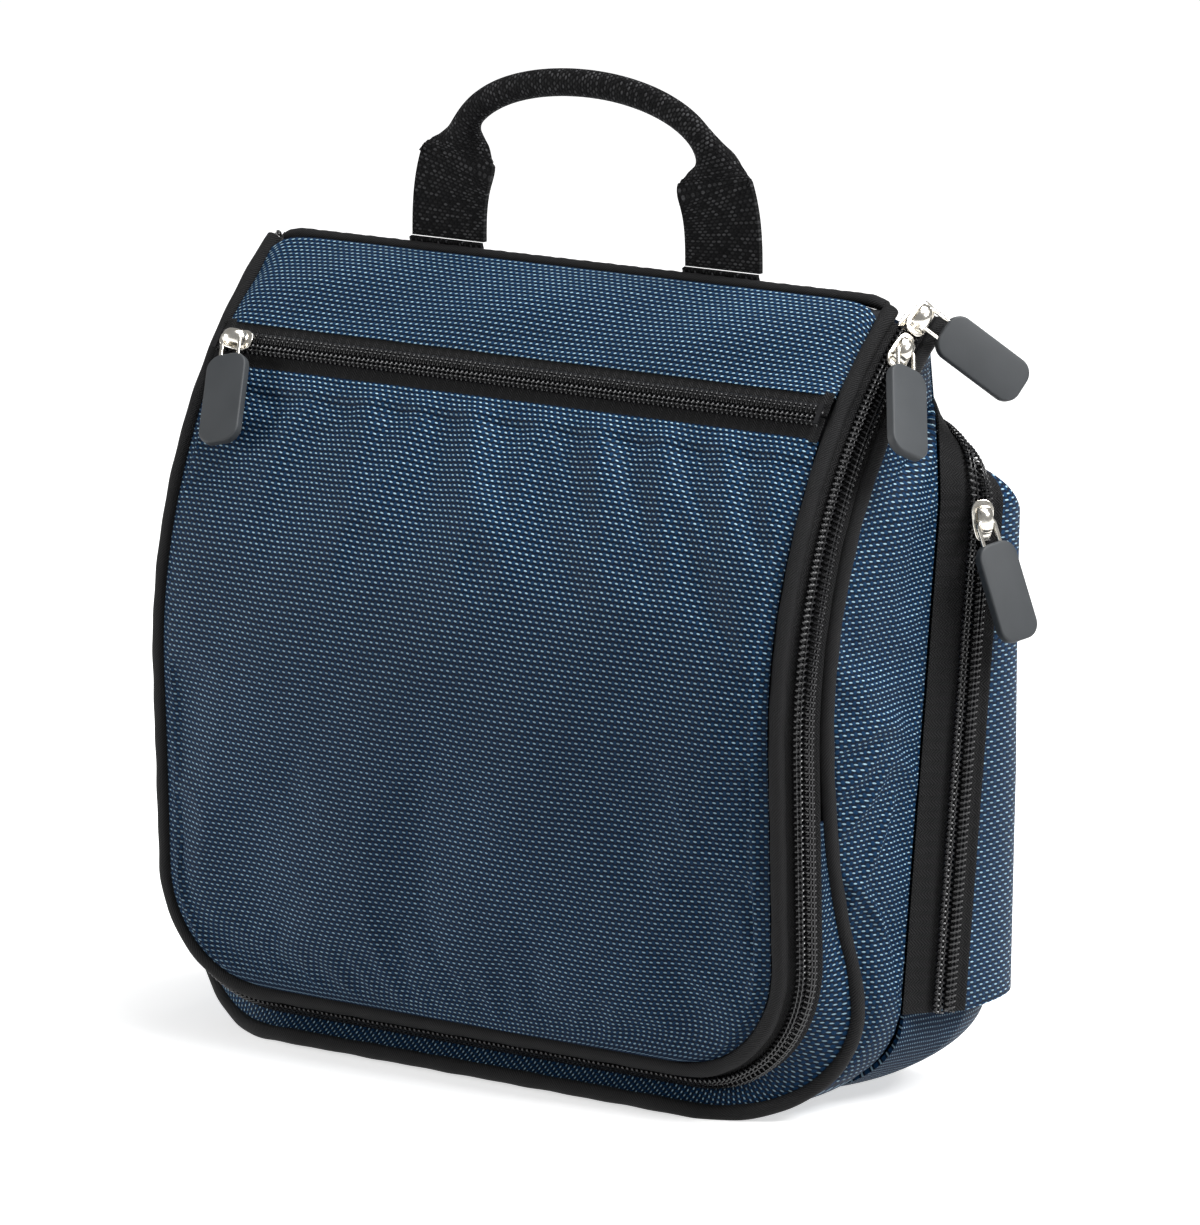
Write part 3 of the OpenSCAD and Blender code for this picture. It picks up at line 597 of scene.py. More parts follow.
def rear_zip(stage):
    """The chain's place, the way across it to the pouch and the way out."""
    stage = np.atleast_1d(np.asarray(stage, float))
    left = stage > 3
    k = np.where(left, 6 - stage, stage)[:, None]
    turn = np.clip(k - 1, 0, 1) * math.pi / 2
    bend = np.hstack([np.cos(turn), np.cos(turn), 1 - np.sin(turn)])
    place = ZIP_TOP + (ZIP_HIGH - ZIP_TOP) * bend + (np.clip(k, 0, 1) - 1) * (ZIP_HIGH - ZIP_LOW)
    place = place - np.clip(k - 2, 0, 1) * ZIP_TOP[0] * X_WAY
    share = np.clip(k - 1, 0, 1)
    across = unit(SIDE_ACROSS + (TOP_ACROSS - SIDE_ACROSS) * share)
    along = unit(unit(ZIP_HIGH - ZIP_LOW) * (1 - share) - X_WAY * share)
    out = unit(np.cross(across, along))
    flip = flipped(left)
    return place * flip, across * flip, out * flip


def rear_zip_point(stage, s, h):
    place, across, out = rear_zip(stage)
    return place + np.reshape(s, (-1, 1)) * across + np.reshape(h, (-1, 1)) * out


# %% [markdown]
# ## Cover panels
# The panels are cut a little full, so they crown between the seams and dip where the binding holds them.
# The pocket's top edge is gathered into its zip, and the cloth lets go in soft folds below the hem.

# %% Shape of the cover's face
COVER_START = 3 * STAGE_MM
PANEL_EDGE = PIPING_R + 0.1 * MM
POCKET_STAGE = 0.296
POCKET_ZIP_W = 18 * MM
ZIP_HALF = 9 * STAGE_MM
CROWN = 9 * MM
crown_at = eased([0.38, 0.9, 1.6, 2.2, 2.95], [0, 1, 1, 0.6, 0.06], 0.12)
DIP_DEPTH, DIP_WIDTH = 1.5 * MM, 3.0 * MM


def cover_grid(stage, side, edge_gap):
    """Places over the cover's face: side runs -1 to 1 across it. Also how far each is from its side seam."""
    place, _, into = seam(np.minimum(stage, 2))
    low = np.clip(stage - 2, 0, 1) * math.pi / 2
    half = HALF_W - CORNER_R + (CORNER_R - edge_gap) * np.cos(low)
    half = np.where(stage <= 2, HALF_W - edge_gap, half)
    place = place + (np.sin(low) * (CORNER_R - edge_gap))[:, None] * DOWN
    place[:, 0] = side * half
    return place, into, half * (1 - np.abs(side))


def dip(distance):
    """How far the cloth is drawn in beside a seam."""
    return DIP_DEPTH * np.exp(-(distance / DIP_WIDTH) ** 2)


def cover_face(stage, side, puff, extra=0.0):
    place, into, gap = cover_grid(stage, side, PANEL_EDGE)
    rise = puff * CROWN * (1 - side ** 2) * crown_at(stage) + extra - dip(gap)
    return place - np.reshape(rise, (-1, 1)) * into


# %% Top panel
TOP_END = POCKET_STAGE - ZIP_HALF


def top_place(u, v):
    side = 2 * u - 1
    first = COVER_START + 5 * STAGE_MM * np.abs(side) ** 24
    stage = first + v * (TOP_END + 1.2 * STAGE_MM - first)
    swell = 2.2 * MM * np.sin(math.pi * v) ** 0.8 * (1 - side ** 4)
    ripple = 1.0 * MM * np.sin(side * 9 + v * 4) * np.sin(math.pi * v)
    lip = 0.9 * MM * np.exp(-((1 - v) * 40 * MM / (4 * MM)) ** 2)
    return cover_face(stage, side, 0, swell + ripple + lip)


FORWARD = (0, -1, 0.3)
top_panel = skin("top_cloth", 120, 36, top_place, outward=FORWARD, wall=THIN_CLOTH)
hand_over(top_panel, blue_cloth, "woven_blue", "top_panel")

# %% Pocket panel
POCKET_START = POCKET_STAGE + ZIP_HALF - 0.8 * STAGE_MM
HEM, POCKET_T = 8 * MM, 1.1 * MM
# Each fold: where it starts from -1 to 1 across, its lean, its width in millimetres and its height.
FOLD_RISE = 1.9 * MM
GATHERS = [(-0.86, 0.10, 5, 0.7), (-0.63, -0.22, 6, 0.8), (-0.42, 0.25, 7, 1.5), (-0.25, -0.18, 6, 1.2),
           (-0.07, 0.42, 7, 1.7), (0.16, -0.25, 8, 1.3), (0.34, 0.30, 7, 1.7), (0.55, 0.12, 6, 1.5),
           (0.74, 0.30, 6, 1.2), (0.9, 0.05, 5, 0.8)]
pocket_stage = even(lambda s: seam(s)[0], POCKET_START, 2)
POCKET_SIDE = length_of(lambda share: seam(pocket_stage(share))[0])


def gathered(side, fall):
    """Soft folds that start at the hem, lean a little and fade out; fall is metres below the pocket's edge."""
    below = np.maximum(fall - HEM, 0)
    fade = np.exp(-(below / (48 * MM)) ** 1.5) * np.clip(fall / HEM, 0, 1)
    total = 0 * side
    for where, lean, width, height in GATHERS:
        middle = where * HALF_W + lean * below
        spread = width * MM * (1 + below / (45 * MM))
        total = total + height * FOLD_RISE * np.exp(-((side * HALF_W - middle) / spread) ** 2)
    return total * fade


def pocket_rows(v):
    """Rows run to the corner's start and then round it, so that a row's share of v is its share of length."""
    whole = POCKET_SIDE + CORNER_R
    reach = v * whole
    return np.where(reach < POCKET_SIDE, pocket_stage(np.minimum(reach / POCKET_SIDE, 1)),
                    2 + np.arcsin(np.clip((reach - POCKET_SIDE) / CORNER_R, 0, 0.9965)) / (math.pi / 2)), reach


def pocket_place(u, v):
    stage, fall = pocket_rows(v)
    side = 2 * u - 1
    hem = 0.9 * MM * (fall < HEM) - 0.5 * MM * np.exp(-((fall - HEM) / (0.9 * MM)) ** 2)
    slack = 0.7 * MM * np.sin(side * 11 + 3 * v) * np.sin(math.pi * v) * np.sin(7 * v + side * 2)
    return cover_face(stage, side, 1, gathered(side, fall) + hem + slack)


def pocket_flat(u, v):
    return np.stack([(2 * u - 1) * HALF_W, -pocket_rows(v)[1]], axis=1)


# %% [markdown]
# The pocket's cloth is let out by a few hundredths and settled by a cloth simulation that is held at its
# seams. It buckles by itself between the drawn folds, which is what makes a real gathered pocket look soft.

# %% Settling cloth
def settle(piece, held, growth, frames=16, most=4 * MM, stiffness=12.0):
    """Cloth simulation with the held points fixed; no point ends further than most from its start."""
    start = points_of(piece)
    group = piece.vertex_groups.new(name="sewn")
    group.add([int(i) for i in np.nonzero(held)[0]], 1.0, "REPLACE")
    cloth = piece.modifiers.new("Cloth", "CLOTH")
    cloth.settings.vertex_group_mass = group.name
    cloth.settings.shrink_min = -growth
    cloth.settings.shrink_max = -growth
    cloth.settings.quality = 6
    cloth.settings.mass = 0.2
    cloth.settings.tension_stiffness = stiffness
    cloth.settings.compression_stiffness = stiffness
    cloth.settings.shear_stiffness = stiffness / 2
    cloth.settings.bending_stiffness = 0.6
    cloth.settings.tension_damping = 12
    cloth.settings.air_damping = 4
    cloth.settings.effector_weights.gravity = 0
    for step in range(1, frames + 1):
        bpy.context.scene.frame_set(step)
    pick(piece)
    bpy.ops.object.modifier_apply(modifier=cloth.name)
    bpy.context.scene.frame_set(1)
    piece.vertex_groups.clear()
    moved = points_of(piece) - start
    far = np.linalg.norm(moved, axis=1, keepdims=True)
    put_points(piece, start + moved * most / np.maximum(far, most))
    print(piece.name, "settled, furthest point moved", round(float(far.max()) / MM, 2), "mm")


def sewn_edges(name, low_rows=0.02):
    """Which points of a panel lie on its sewn edges."""
    u, v = shares[name]
    return (u < 0.015) | (u > 0.985) | (v < low_rows) | (v > 0.98)


pocket_panel = skin("pocket_cloth", 150, 150, pocket_place, outward=FORWARD, flat=pocket_flat)
settle(pocket_panel, sewn_edges("pocket_cloth", 0.045), 0.012, most=2.5 * MM)
modify(pocket_panel, "SOLIDIFY", thickness=POCKET_T, offset=-1.0)
smooth(pocket_panel)
hand_over(pocket_panel, blue_cloth, "woven_blue", "pocket_panel")

# %% Cover lining
BACKING_Q = 3.4 * MM


def backing_place(u, v):
    whole = np.where(v < 0.8, COVER_START + (2 - COVER_START) * v / 0.8, 2 + (v - 0.8) / 0.2 * 0.93)
    place, into, _ = cover_grid(whole, 2 * u - 1, PANEL_EDGE)
    return place + (BACKING_Q + 0.3 * MM * np.sin(14 * u) * np.sin(9 * v))[:, None] * into


cover_lining = skin("cover_lining", 60, 80, backing_place, outward=FORWARD, wall=THIN_CLOTH)
hand_over(cover_lining, lining_cloth, "lining", "cover_backing")

# %% [markdown]
# ## Bindings
# Piping is a cord wrapped in bias-cut twill. It is a tube that follows the seam, with a slight wander in its
# thickness because the tape is folded by hand.

# %% Piping round the cover and the body
def seam_line(p_rule, q_rule, first, last):
    """A line rule for tube(): places along the seam with the two ways across it."""
    stage_at = even(lambda s: seam_point(s, p_rule(s), q_rule(s)), first, last)

    def line(share):
        stage = stage_at(share)
        _, out, into = seam(stage)
        return seam_point(stage, p_rule(stage), q_rule(stage)), out, into
    return line


def wandering(radius):
    """A radius that swells and thins by a few hundredths along the cord."""
    return lambda v: radius * (1 + 0.03 * np.sin(v * 310) + 0.025 * np.sin(v * 173 + 1))


cover_line = seam_line(lambda s: 0 * s, lambda s: 0 * s + PIPING_R, COVER_START, 8 - COVER_START)
cover_binding = tube("cover_binding", 620, 20, cover_line, wandering(PIPING_R))
hand_over(cover_binding, binding_twill, "black_piping", "cover_piping")

TAIL = -7 * STAGE_MM
rim_line = seam_line(lambda s: rim_p(half_stage(s)), lambda s: rim_q(half_stage(s)), TAIL, 8 - TAIL)
body_binding = tube("body_binding", 680, 20, rim_line, wandering(PIPING_R))
hand_over(body_binding, binding_twill, "black_piping", "body_piping")

HINGE = seam_point(0, 0, PIPING_R)[0]
RIDGE_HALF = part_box("ridge_piping")[1].x


def back_and_up(count):
    """The two ways across a line that runs level from side to side."""
    return np.tile([0, 1, 0], (count, 1)), np.tile([0, 0, 1], (count, 1))


def ridge_line(share):
    x = (2 * share - 1) * RIDGE_HALF
    end = np.clip((np.abs(x) - RIDGE_HALF + 8 * MM) / (8 * MM), 0, 1) ** 2
    place = np.stack([x, HINGE[1] + 0.5 * MM * end, HINGE[2] - 1.8 * MM * end], axis=1)
    return place, *back_and_up(len(x))


ridge_binding = tube("ridge_binding", 220, 16, ridge_line, wandering(PIPING_R - 0.4 * MM))
hand_over(ridge_binding, binding_twill, "black_piping", "ridge_piping")

# %% [markdown]
# ## Zips
# A coil zip is a nylon wire wound in a flat spiral and sewn to a woven tape. Two coils mesh half a turn
# apart. Each coil here is one wire with a real turn for every tooth.

# %% Zip tapes
def grooves(u):
    """The shallow woven ribs along a tape."""
    return 0.12 * MM * np.sin(u * math.pi * 5)


def seam_strip(name, s0, s1, first, last, node):
    stage_at = even(lambda s: seam_point(s, *band((s0 + s1) / 2, 0)), first, last)

    def place(u, v):
        return seam_point(stage_at(v), *band(s0 + (s1 - s0) * u, TAPE_T / 2 + grooves(u)))
    strip = skin(name, 10, 420, place, outward=(1, -1, 0.2), wall=TAPE_T)
    return hand_over(strip, tape_cloth, "zip_tape", node)


COIL_GAP = 0.35 * MM
COVER_ZIP_START = 6 * STAGE_MM
seam_strip("cover_zip_tape", PIPING_R * 0.6, CHAIN_AT - COIL_GAP, COVER_ZIP_START, 8 - COVER_ZIP_START,
           "main_zip_cover_tape")
seam_strip("body_zip_tape", CHAIN_AT + COIL_GAP, BAND_LEN - PIPING_R * 0.6, TAIL, 8 - TAIL, "main_zip_body_tape")

# %% Coils
PITCH, WIRE_R = 1.95 * MM, 0.42 * MM
COIL_REACH, COIL_RISE = 1.75 * MM, 0.85 * MM
COIL_CENTRE = 1.95 * MM
SEGMENTS = 12


def coil(name, line, side, node, half_turn=0.0):
    """A wound wire beside a chain's line. line(share) gives place, the way across and the way out."""
    turns = int(length_of(lambda s: line(s)[0]) / PITCH)

    def centre(share):
        place, across, out = line(share)
        turn = (2 * math.pi * (share * turns + half_turn))[:, None]
        reach = side * (COIL_CENTRE - COIL_REACH * np.cos(turn))
        rise = TAPE_T / 2 + COIL_RISE + WIRE_R + COIL_RISE * np.sin(turn)
        return place + reach * across + rise * out, across, out

    def place(u, v):
        middle, across, out = centre(v)
        step = 1e-5
        run = unit(centre(np.minimum(v + step, 1))[0] - centre(np.maximum(v - step, 0))[0])
        one = unit(np.cross(run, np.cross(across, out)))
        two = np.cross(run, one)
        angle = (2 * math.pi * u)[:, None]
        return middle + WIRE_R * (np.cos(angle) * one + np.sin(angle) * two)
    wire = skin(name, 5, turns * SEGMENTS, place, flat=lambda u, v: np.stack([v, u], axis=1), tube=True)
    threads = []
    for reach in (1.55 * MM, 2.75 * MM):
        def thread(share, reach=reach):
            middle, across, out = line(share)
            rise = TAPE_T / 2 + 2 * (COIL_RISE + WIRE_R) - (0.1 + 0.3 * (reach > 2 * MM)) * MM
            rise = rise + 0.16 * MM * np.cos(2 * math.pi * share * turns)[:, None]
            return middle + side * reach * across + rise * out, across, out
        threads.append(tube(name + "_thread", turns * 4, 5, thread, 0.3 * MM))
    pick(wire, *threads)
    bpy.ops.object.join()
    return hand_over(wire, coil_nylon, "zip_coil", node)


def chain_point(stage, h=0.0):
    """A place on the main chain, the way across it and the way out of it."""
    _, out, into = seam(stage)
    return seam_point(stage, *band(CHAIN_AT, h)), BAND_P * out + BAND_Q * into, BAND_Q * out - BAND_P * into


def main_chain(first, last):
    stage_at = even(lambda s: chain_point(s)[0], first, last)
    return lambda share: chain_point(stage_at(share))


coil("cover_zip_coil", main_chain(COVER_ZIP_START, 8 - COVER_ZIP_START), -1, "main_zip_cover_coil")
coil("body_zip_coil", main_chain(TAIL, 8 - TAIL), 1, "main_zip_body_coil", 0.5)

# %% Pocket zip
POCKET_ZIP_Q = 0.4 * MM
POCKET_ZIP_HALF = HALF_W - PANEL_EDGE


def pocket_zip_point(x, s, h):
    place, _, into = seam(np.full(len(x), POCKET_STAGE) + s / MM * STAGE_MM)
    place[:, 0] = x
    return place + np.reshape(POCKET_ZIP_Q - h, (-1, 1)) * into


def pocket_tape(name, s0, s1, node):
    def place(u, v):
        return pocket_zip_point((2 * v - 1) * POCKET_ZIP_HALF, s0 + (s1 - s0) * u, TAPE_T + grooves(u))
    return hand_over(skin(name, 10, 140, place, outward=FORWARD, wall=TAPE_T), tape_cloth, "zip_tape", node)


def pocket_chain(share):
    x = (2 * share - 1) * (POCKET_ZIP_HALF - 1 * MM)
    _, _, into = seam(np.full(len(x), POCKET_STAGE))
    return pocket_zip_point(x, 0 * x, 0 * x + TAPE_T / 2), np.cross(X_WAY, into), -into


pocket_tape("pocket_tape_upper", -POCKET_ZIP_W / 2, -COIL_GAP, "pocket_zip_upper_tape")
pocket_tape("pocket_tape_lower", COIL_GAP, POCKET_ZIP_W / 2, "pocket_zip_lower_tape")
coil("pocket_coil_upper", pocket_chain, 1, "pocket_zip_upper_coil")
coil("pocket_coil_lower", pocket_chain, -1, "pocket_zip_lower_coil", 0.5)
coat(frame["nodes"]["pocket_zip_stops"], coil_nylon)

# %% Rear zip
FRONT_TAPE_W, BACK_TAPE_W = 13.5 * MM, 8 * MM
rear_stage = even(lambda s: rear_zip(s)[0], 0, 6)


def rear_strip(name, s0, s1, node):
    def place(u, v):
        return rear_zip_point(rear_stage(v), s0 + (s1 - s0) * u, TAPE_T / 2 + grooves(u))
    return hand_over(skin(name, 12, 360, place, outward=(0, 1, 1), wall=TAPE_T), tape_cloth, "zip_tape", node)


rear_strip("rear_tape_front", -FRONT_TAPE_W, -COIL_GAP, "rear_zip_body_tape")
rear_strip("rear_tape_back", COIL_GAP, BACK_TAPE_W, "rear_zip_pouch_tape")
coil("rear_coil_front", lambda share: rear_zip(rear_stage(share)), -1, "rear_zip_body_coil")
coil("rear_coil_back", lambda share: rear_zip(rear_stage(share)), 1, "rear_zip_pouch_coil", 0.5)

# %% [markdown]
# ## Sides, back and base
# Each side is one cloth from the body's binding to the rear zip. Its rows of floats stay level, so its UV map
# is its height and depth on the bag, not its place in the grid. It carries a few creases where it is pushed in.

# %% Sides
def zip_edge(k):
    return rear_zip_point(k, -FRONT_TAPE_W, 0)


GUSSET_TOP = np.array([HALF_W + 4 * MM, ARC_Y - CURVE_R * math.cos(TOP_ANGLE) + 16 * MM, RIDGE_Z - 17 * MM])


def side_rear(stage):
    stage = np.asarray(stage, float)
    edge = zip_edge(np.interp(stage, [0.5, 0.8, 2], [1.9, 0.9, 0.04]))
    high = np.clip(1 - stage / 0.5, 0, 1)[:, None]
    low = np.clip(stage - 2, 0, 1) * math.pi / 2
    edge = edge * (1 - high) + GUSSET_TOP * high
    edge[:, 0] += (HALF_W - CORNER_R - edge[:, 0]) * (1 - np.cos(low))
    edge[:, 2] *= 1 - np.sin(low)
    return edge


# Each crease: its place from rim to rear zip, its stage, its slant and its height.
CREASE_RISE, BELLY = 1.7 * MM, 3.5 * MM
CREASES = [(0.32, 0.93, 0.30, 1.3), (0.30, 1.05, 0.22, 1.6), (0.28, 1.18, -0.1, 1.5), (0.33, 1.32, -0.3, 1.3),
           (0.55, 1.12, 0.5, 1.0), (0.5, 1.5, -0.6, 1.1), (0.72, 1.3, 0.4, 0.8), (0.35, 1.75, 0.5, 0.8)]
side_stage = even(lambda s: rim_point(s), 0.02, 3)


def side_place(u, v):
    stage = side_stage(v)
    rim, rear = rim_point(stage, 0, PIPING_R * 0.7), side_rear(stage)
    place = rim + (rear - rim) * u[:, None]
    _, out, _ = seam(stage)
    face = unit(out + np.array([0, -0.2, 0]))
    belly = BELLY * np.sin(math.pi * u) * np.interp(stage, [0, 0.4, 1.2, 2, 3], [0, 0.6, 1, 0.8, 0.05])
    for across, level, lean, height in CREASES:
        line = (stage - level - lean * (u - across)) / 0.045
        belly = belly + height * CREASE_RISE * np.exp(-line ** 2) * np.exp(-((u - across) / 0.24) ** 2)
    belly = belly - 1.0 * MM * (np.exp(-(u / 0.03) ** 2) + np.exp(-((1 - u) / 0.03) ** 2))
    return place + belly[:, None] * face


def side_flat(u, v):
    place = side_place(u, v)
    return np.stack([place[:, 1], place[:, 2] + (HALF_W - np.minimum(place[:, 0], HALF_W)) * 0.5], axis=1)


side_right = skin("side_cloth_right", 70, 170, side_place, outward=(1, 0, 0), flat=side_flat)
settle(side_right, sewn_edges("side_cloth_right"), 0.01, most=2.0 * MM)
modify(side_right, "SOLIDIFY", thickness=FIRM_CLOTH, offset=-1.0)
smooth(side_right)
side_left = mirrored(side_right, "side_cloth_left")
hand_over(side_right, blue_cloth, "woven_blue", "gusset_right")
hand_over(side_left, blue_cloth, "woven_blue", "gusset_left")

# %% Front strip below the cover
strip_stage = even(rim_point, 1.3, 6.7)
strip_rise = eased([2.4, 2.67, 2.83, 4], [0, 0.3, 0.5, 0.5])


def strip_place(u, v):
    stage = strip_stage(v)
    upper = seam_point(stage, *band(BAND_LEN - PIPING_R, 0))
    rim = rim_point(stage)
    _, out, into = seam(stage)
    rise = strip_rise(half_stage(stage))[:, None]
    lower = rim + PIPING_R * 0.9 * unit(unit(upper - rim) * (1 - rise) - out * rise)
    place = upper + (lower - upper) * u[:, None]
    return place + (0.8 * MM * np.sin(math.pi * u))[:, None] * unit(BAND_Q * out - BAND_P * into)


front_strip = skin("front_strip", 14, 320, strip_place, outward=(0, -1, -0.5), wall=0.8 * MM)
hand_over(front_strip, blue_cloth, "woven_blue", "front_fascia")

# %% Back above the pouch
BACK_START = HINGE[1:] + np.array([2.8, -2]) * MM
BACK_BEND = np.array([GUSSET_TOP[1] + 9 * MM, RIDGE_Z - 15 * MM])
BACK_END = zip_edge(3)[0, 1:]


def bowed(f, start, bend, end):
    """A curve from start to end that is drawn towards bend."""
    f = np.reshape(f, (-1, 1))
    return (1 - f) ** 2 * start + 2 * f * (1 - f) * bend + f * f * end


def back_profile(f):
    return bowed(f, BACK_START, BACK_BEND, BACK_END)


def back_place(u, v):
    """Across the back the cloth bows a little, and near each side it turns down to meet the side's edge."""
    profile = back_profile(v)
    side = 2 * u - 1
    swell = 1.5 * MM * np.sin(math.pi * v) * (1 - side ** 2)
    place = np.stack([side * HALF_W, profile[:, 0] + swell * 0.6, profile[:, 1] + swell], axis=1)
    edge = side_rear(0.02 + 0.48 * v) * np.stack([np.sign(side), 0 * side + 1, 0 * side + 1], axis=1)
    turn = np.clip((np.abs(side) - 0.84) / 0.16, 0, 1)[:, None] ** 2
    return place * (1 - turn) + edge * turn


back_cloth = skin("back_cloth", 110, 18, back_place, outward=(0, 1, 1), wall=MID_CLOTH)
hand_over(back_cloth, blue_cloth, "woven_blue", "upper_back_panel")

# %% Rear pouch
POUCH_CORNER, POUCH_FALL = 24 * MM, 12 * MM


def pouch_start(k):
    return rear_zip_point(k, BACK_TAPE_W, 0)


def pouch_back(k):
    k = np.asarray(k, float)
    start, shoulder = pouch_start(np.minimum(k, 1)), pouch_start(np.array([1.0]))
    turn = np.clip(k - 1, 0, 1) * math.pi / 2
    x = ZIP_TOP[0] - 14 * MM + (POUCH_HALF_W - POUCH_CORNER - ZIP_TOP[0] + 14 * MM) * np.cos(turn)
    rise = ZIP_TOP[2] - 27 * MM - shoulder[0, 2]
    fall = POUCH_FALL * np.minimum(k, 1) ** 4
    return np.stack([x * np.clip(3 - k, 0, 1), BACK_Y - 2 * MM * np.sin(turn),
                     start[:, 2] - fall + (rise + POUCH_FALL) * np.sin(turn)], axis=1)


def pouch_strip_place(u, v):
    k = np.interp(v, [0, 0.5, 0.75, 1], [0, 1, 2, 3])
    start, end = pouch_start(k), pouch_back(k)
    top = np.clip((k - 0.45) / 1.55, 0, 1)[:, None]
    low_bend = np.stack([0 * k + POUCH_HALF_W + 1.5 * MM, 0 * k + BACK_Y, (start[:, 2] + end[:, 2]) / 2], axis=1)
    high_bend = np.stack([start[:, 0], (start[:, 1] + end[:, 1]) / 2 + 4 * MM, start[:, 2] - 4 * MM], axis=1)
    return bowed(u, start, low_bend * (1 - top) + high_bend * top, end)


def pouch_flat(u, v):
    place = pouch_strip_place(u, v)
    around = np.arctan2(place[:, 1], np.abs(place[:, 0]) - 100 * MM) * 45 * MM
    return np.stack([place[:, 0] * 0.4 + around, place[:, 2]], axis=1)


pouch_right = skin("pouch_strip_right", 24, 150, pouch_strip_place, outward=(1, 0.6, 0.3), flat=pouch_flat,
                   wall=FIRM_CLOTH)
pouch_left = mirrored(pouch_right, "pouch_strip_left")
hand_over(pouch_right, blue_cloth, "woven_blue", "pouch_side_right")
hand_over(pouch_left, blue_cloth, "woven_blue", "pouch_side_left")


def pouch_place(u, v):
    k = 1.97 * v
    edge = pouch_back(k)
    side = 2 * u - 1
    swell = 3 * MM * (1 - side ** 2) * np.sin(math.pi * np.clip(v * 1.05, 0, 1)) ** 0.6
    return np.stack([side * edge[:, 0], edge[:, 1] + swell, edge[:, 2]], axis=1)


pouch_cloth = skin("pouch_cloth", 120, 90, pouch_place, outward=(0, 1, 0), wall=FIRM_CLOTH,
                   flat=lambda u, v: pouch_place(u, v)[:, [0, 2]])
hand_over(pouch_cloth, blue_cloth, "woven_blue", "pouch_panel")

# %% Base and the cup under the pouch
BASE_LOW, BASE_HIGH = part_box("bottom_panel")
FOOT = zip_edge(np.array([0.04]))[0]
PLAN_CORNER_W, PLAN_CORNER_D = 26 * MM, 34 * MM


def base_place(u, v):
    """A flat panel whose rear corners are rounded to fit the cup."""
    side = 2 * u - 1
    y = BASE_LOW.y + (BASE_HIGH.y - BASE_LOW.y) * v
    reach = np.clip((y - BASE_HIGH.y + 25 * MM) / (25 * MM), 0, 1)
    x = side * (BASE_HIGH.x - PLAN_CORNER_W * (1 - np.sqrt(1 - reach ** 2)))
    return np.stack([x, y, 0 * x + 0.2 * MM + 0.1 * MM * np.sin(40 * u) * np.sin(9 * v)], axis=1)


base_cloth = skin("base_cloth", 60, 24, base_place, outward=(0, 0, -1), wall=MID_CLOTH)
hand_over(base_cloth, blue_cloth, "woven_blue", "bottom_panel")
coat(frame["nodes"]["base_board"], board)

CUP_FLARE = 7 * MM


def cup_place(u, v):
    """Level rings from the cup's rim down to the base; u runs round from the right side to the left."""
    half = 1 - np.abs(2 * u - 1)
    side = np.where(u < 0.5, 1, -1)
    bend = v * math.pi / 2
    width = FOOT[0] + CUP_FLARE + (BASE_HIGH.x - FOOT[0] - CUP_FLARE) * (1 - np.cos(bend))
    rear = BACK_Y + (BASE_HIGH.y - BACK_Y) * (1 - np.cos(bend))
    turn = np.clip((half - 0.3) / 0.4, 0, 1) * math.pi / 2
    start = np.clip(half / 0.3, 0, 1)
    deep = np.minimum(PLAN_CORNER_D, 0.9 * (rear - FOOT[1]))
    x = width - CUP_FLARE * np.cos(bend) * (1 - start) - PLAN_CORNER_W * (1 - np.cos(turn))
    x = x * (1 - np.clip((half - 0.7) / 0.3, 0, 1))
    y = FOOT[1] + (rear - deep - FOOT[1]) * start + deep * np.sin(turn)
    return np.stack([side * x, y, SEAM_Z * (1 - np.sin(bend)) + 0.2 * MM], axis=1)


cup_cloth = skin("cup_cloth", 140, 24, cup_place, outward=(0, 0.3, -1), wall=FIRM_CLOTH,
                 flat=lambda u, v: np.stack([u * 0.42, -v * 0.05], axis=1))
hand_over(cup_cloth, blue_cloth, "woven_blue", "rear_base_panel")

# %% [markdown]
# ## Inside
# A padded wall parts the main space from the pouch, and a net pocket with a bound edge is sewn to it.

# %% Divider and net pocket
FLOOR_GAP, DIVIDER_T = 4.5 * MM, 2.5 * MM


def divider_place(u, v):
    stage = np.interp(v, [0, 0.3, 1], [2.88, 2, 0.6])
    edge = side_rear(stage)
    x = (2 * u - 1) * (edge[:, 0] - np.interp(stage, [0.6, 0.9, 1.4], [9, 4.5, 3]) * MM)
    pad = 0.6 * MM * np.sin(math.pi * u) * np.sin(math.pi * v)
    lift = np.where(stage > 2, FLOOR_GAP, 0)
    return np.stack([x, edge[:, 1] - DIVIDER_T / 2 - MM - pad, edge[:, 2] + lift], axis=1)


divider = skin("divider_pad", 60, 60, divider_place, outward=(0, -1, 0), wall=DIVIDER_T)
hand_over(divider, lining_cloth, "lining", "divider_wall")

NET_HALF_W = 104 * MM


def net_place(u, v, forward=0.0):
    stage = np.interp(v, [0, 0.35, 1], [2.45, 2, 1.44])
    edge = side_rear(stage)
    x = (2 * u - 1) * NET_HALF_W
    slack = np.interp(stage, [1.4, 2, 2.45], [7, 7, 0.5]) * MM
    depth = MM + DIVIDER_T / 2 + forward + slack * (1 - (2 * u - 1) ** 4)
    return np.stack([x, edge[:, 1] - depth, edge[:, 2] + np.where(stage > 2, FLOOR_GAP, 0)], axis=1)


net_pocket = skin("net_pocket", 60, 30, net_place, outward=(0, -1, 0), wall=0.5 * MM)
hand_over(net_pocket, net_cloth, "mesh", "inner_pocket_mesh")


def net_edge(share):
    place = net_place(share, np.ones(len(share)), 0.6 * MM)
    return place, *back_and_up(len(share))


hand_over(tube("net_binding", 90, 12, net_edge, 1.5 * MM), binding_twill, "black_piping", "inner_pocket_binding")

# %% [markdown]
# ## Handle
# One strip of webbing makes the whole handle. It lies flat where it is sewn in, and above that its edges
# curl round behind until it is a flattened tube, which is what a hand closes on.

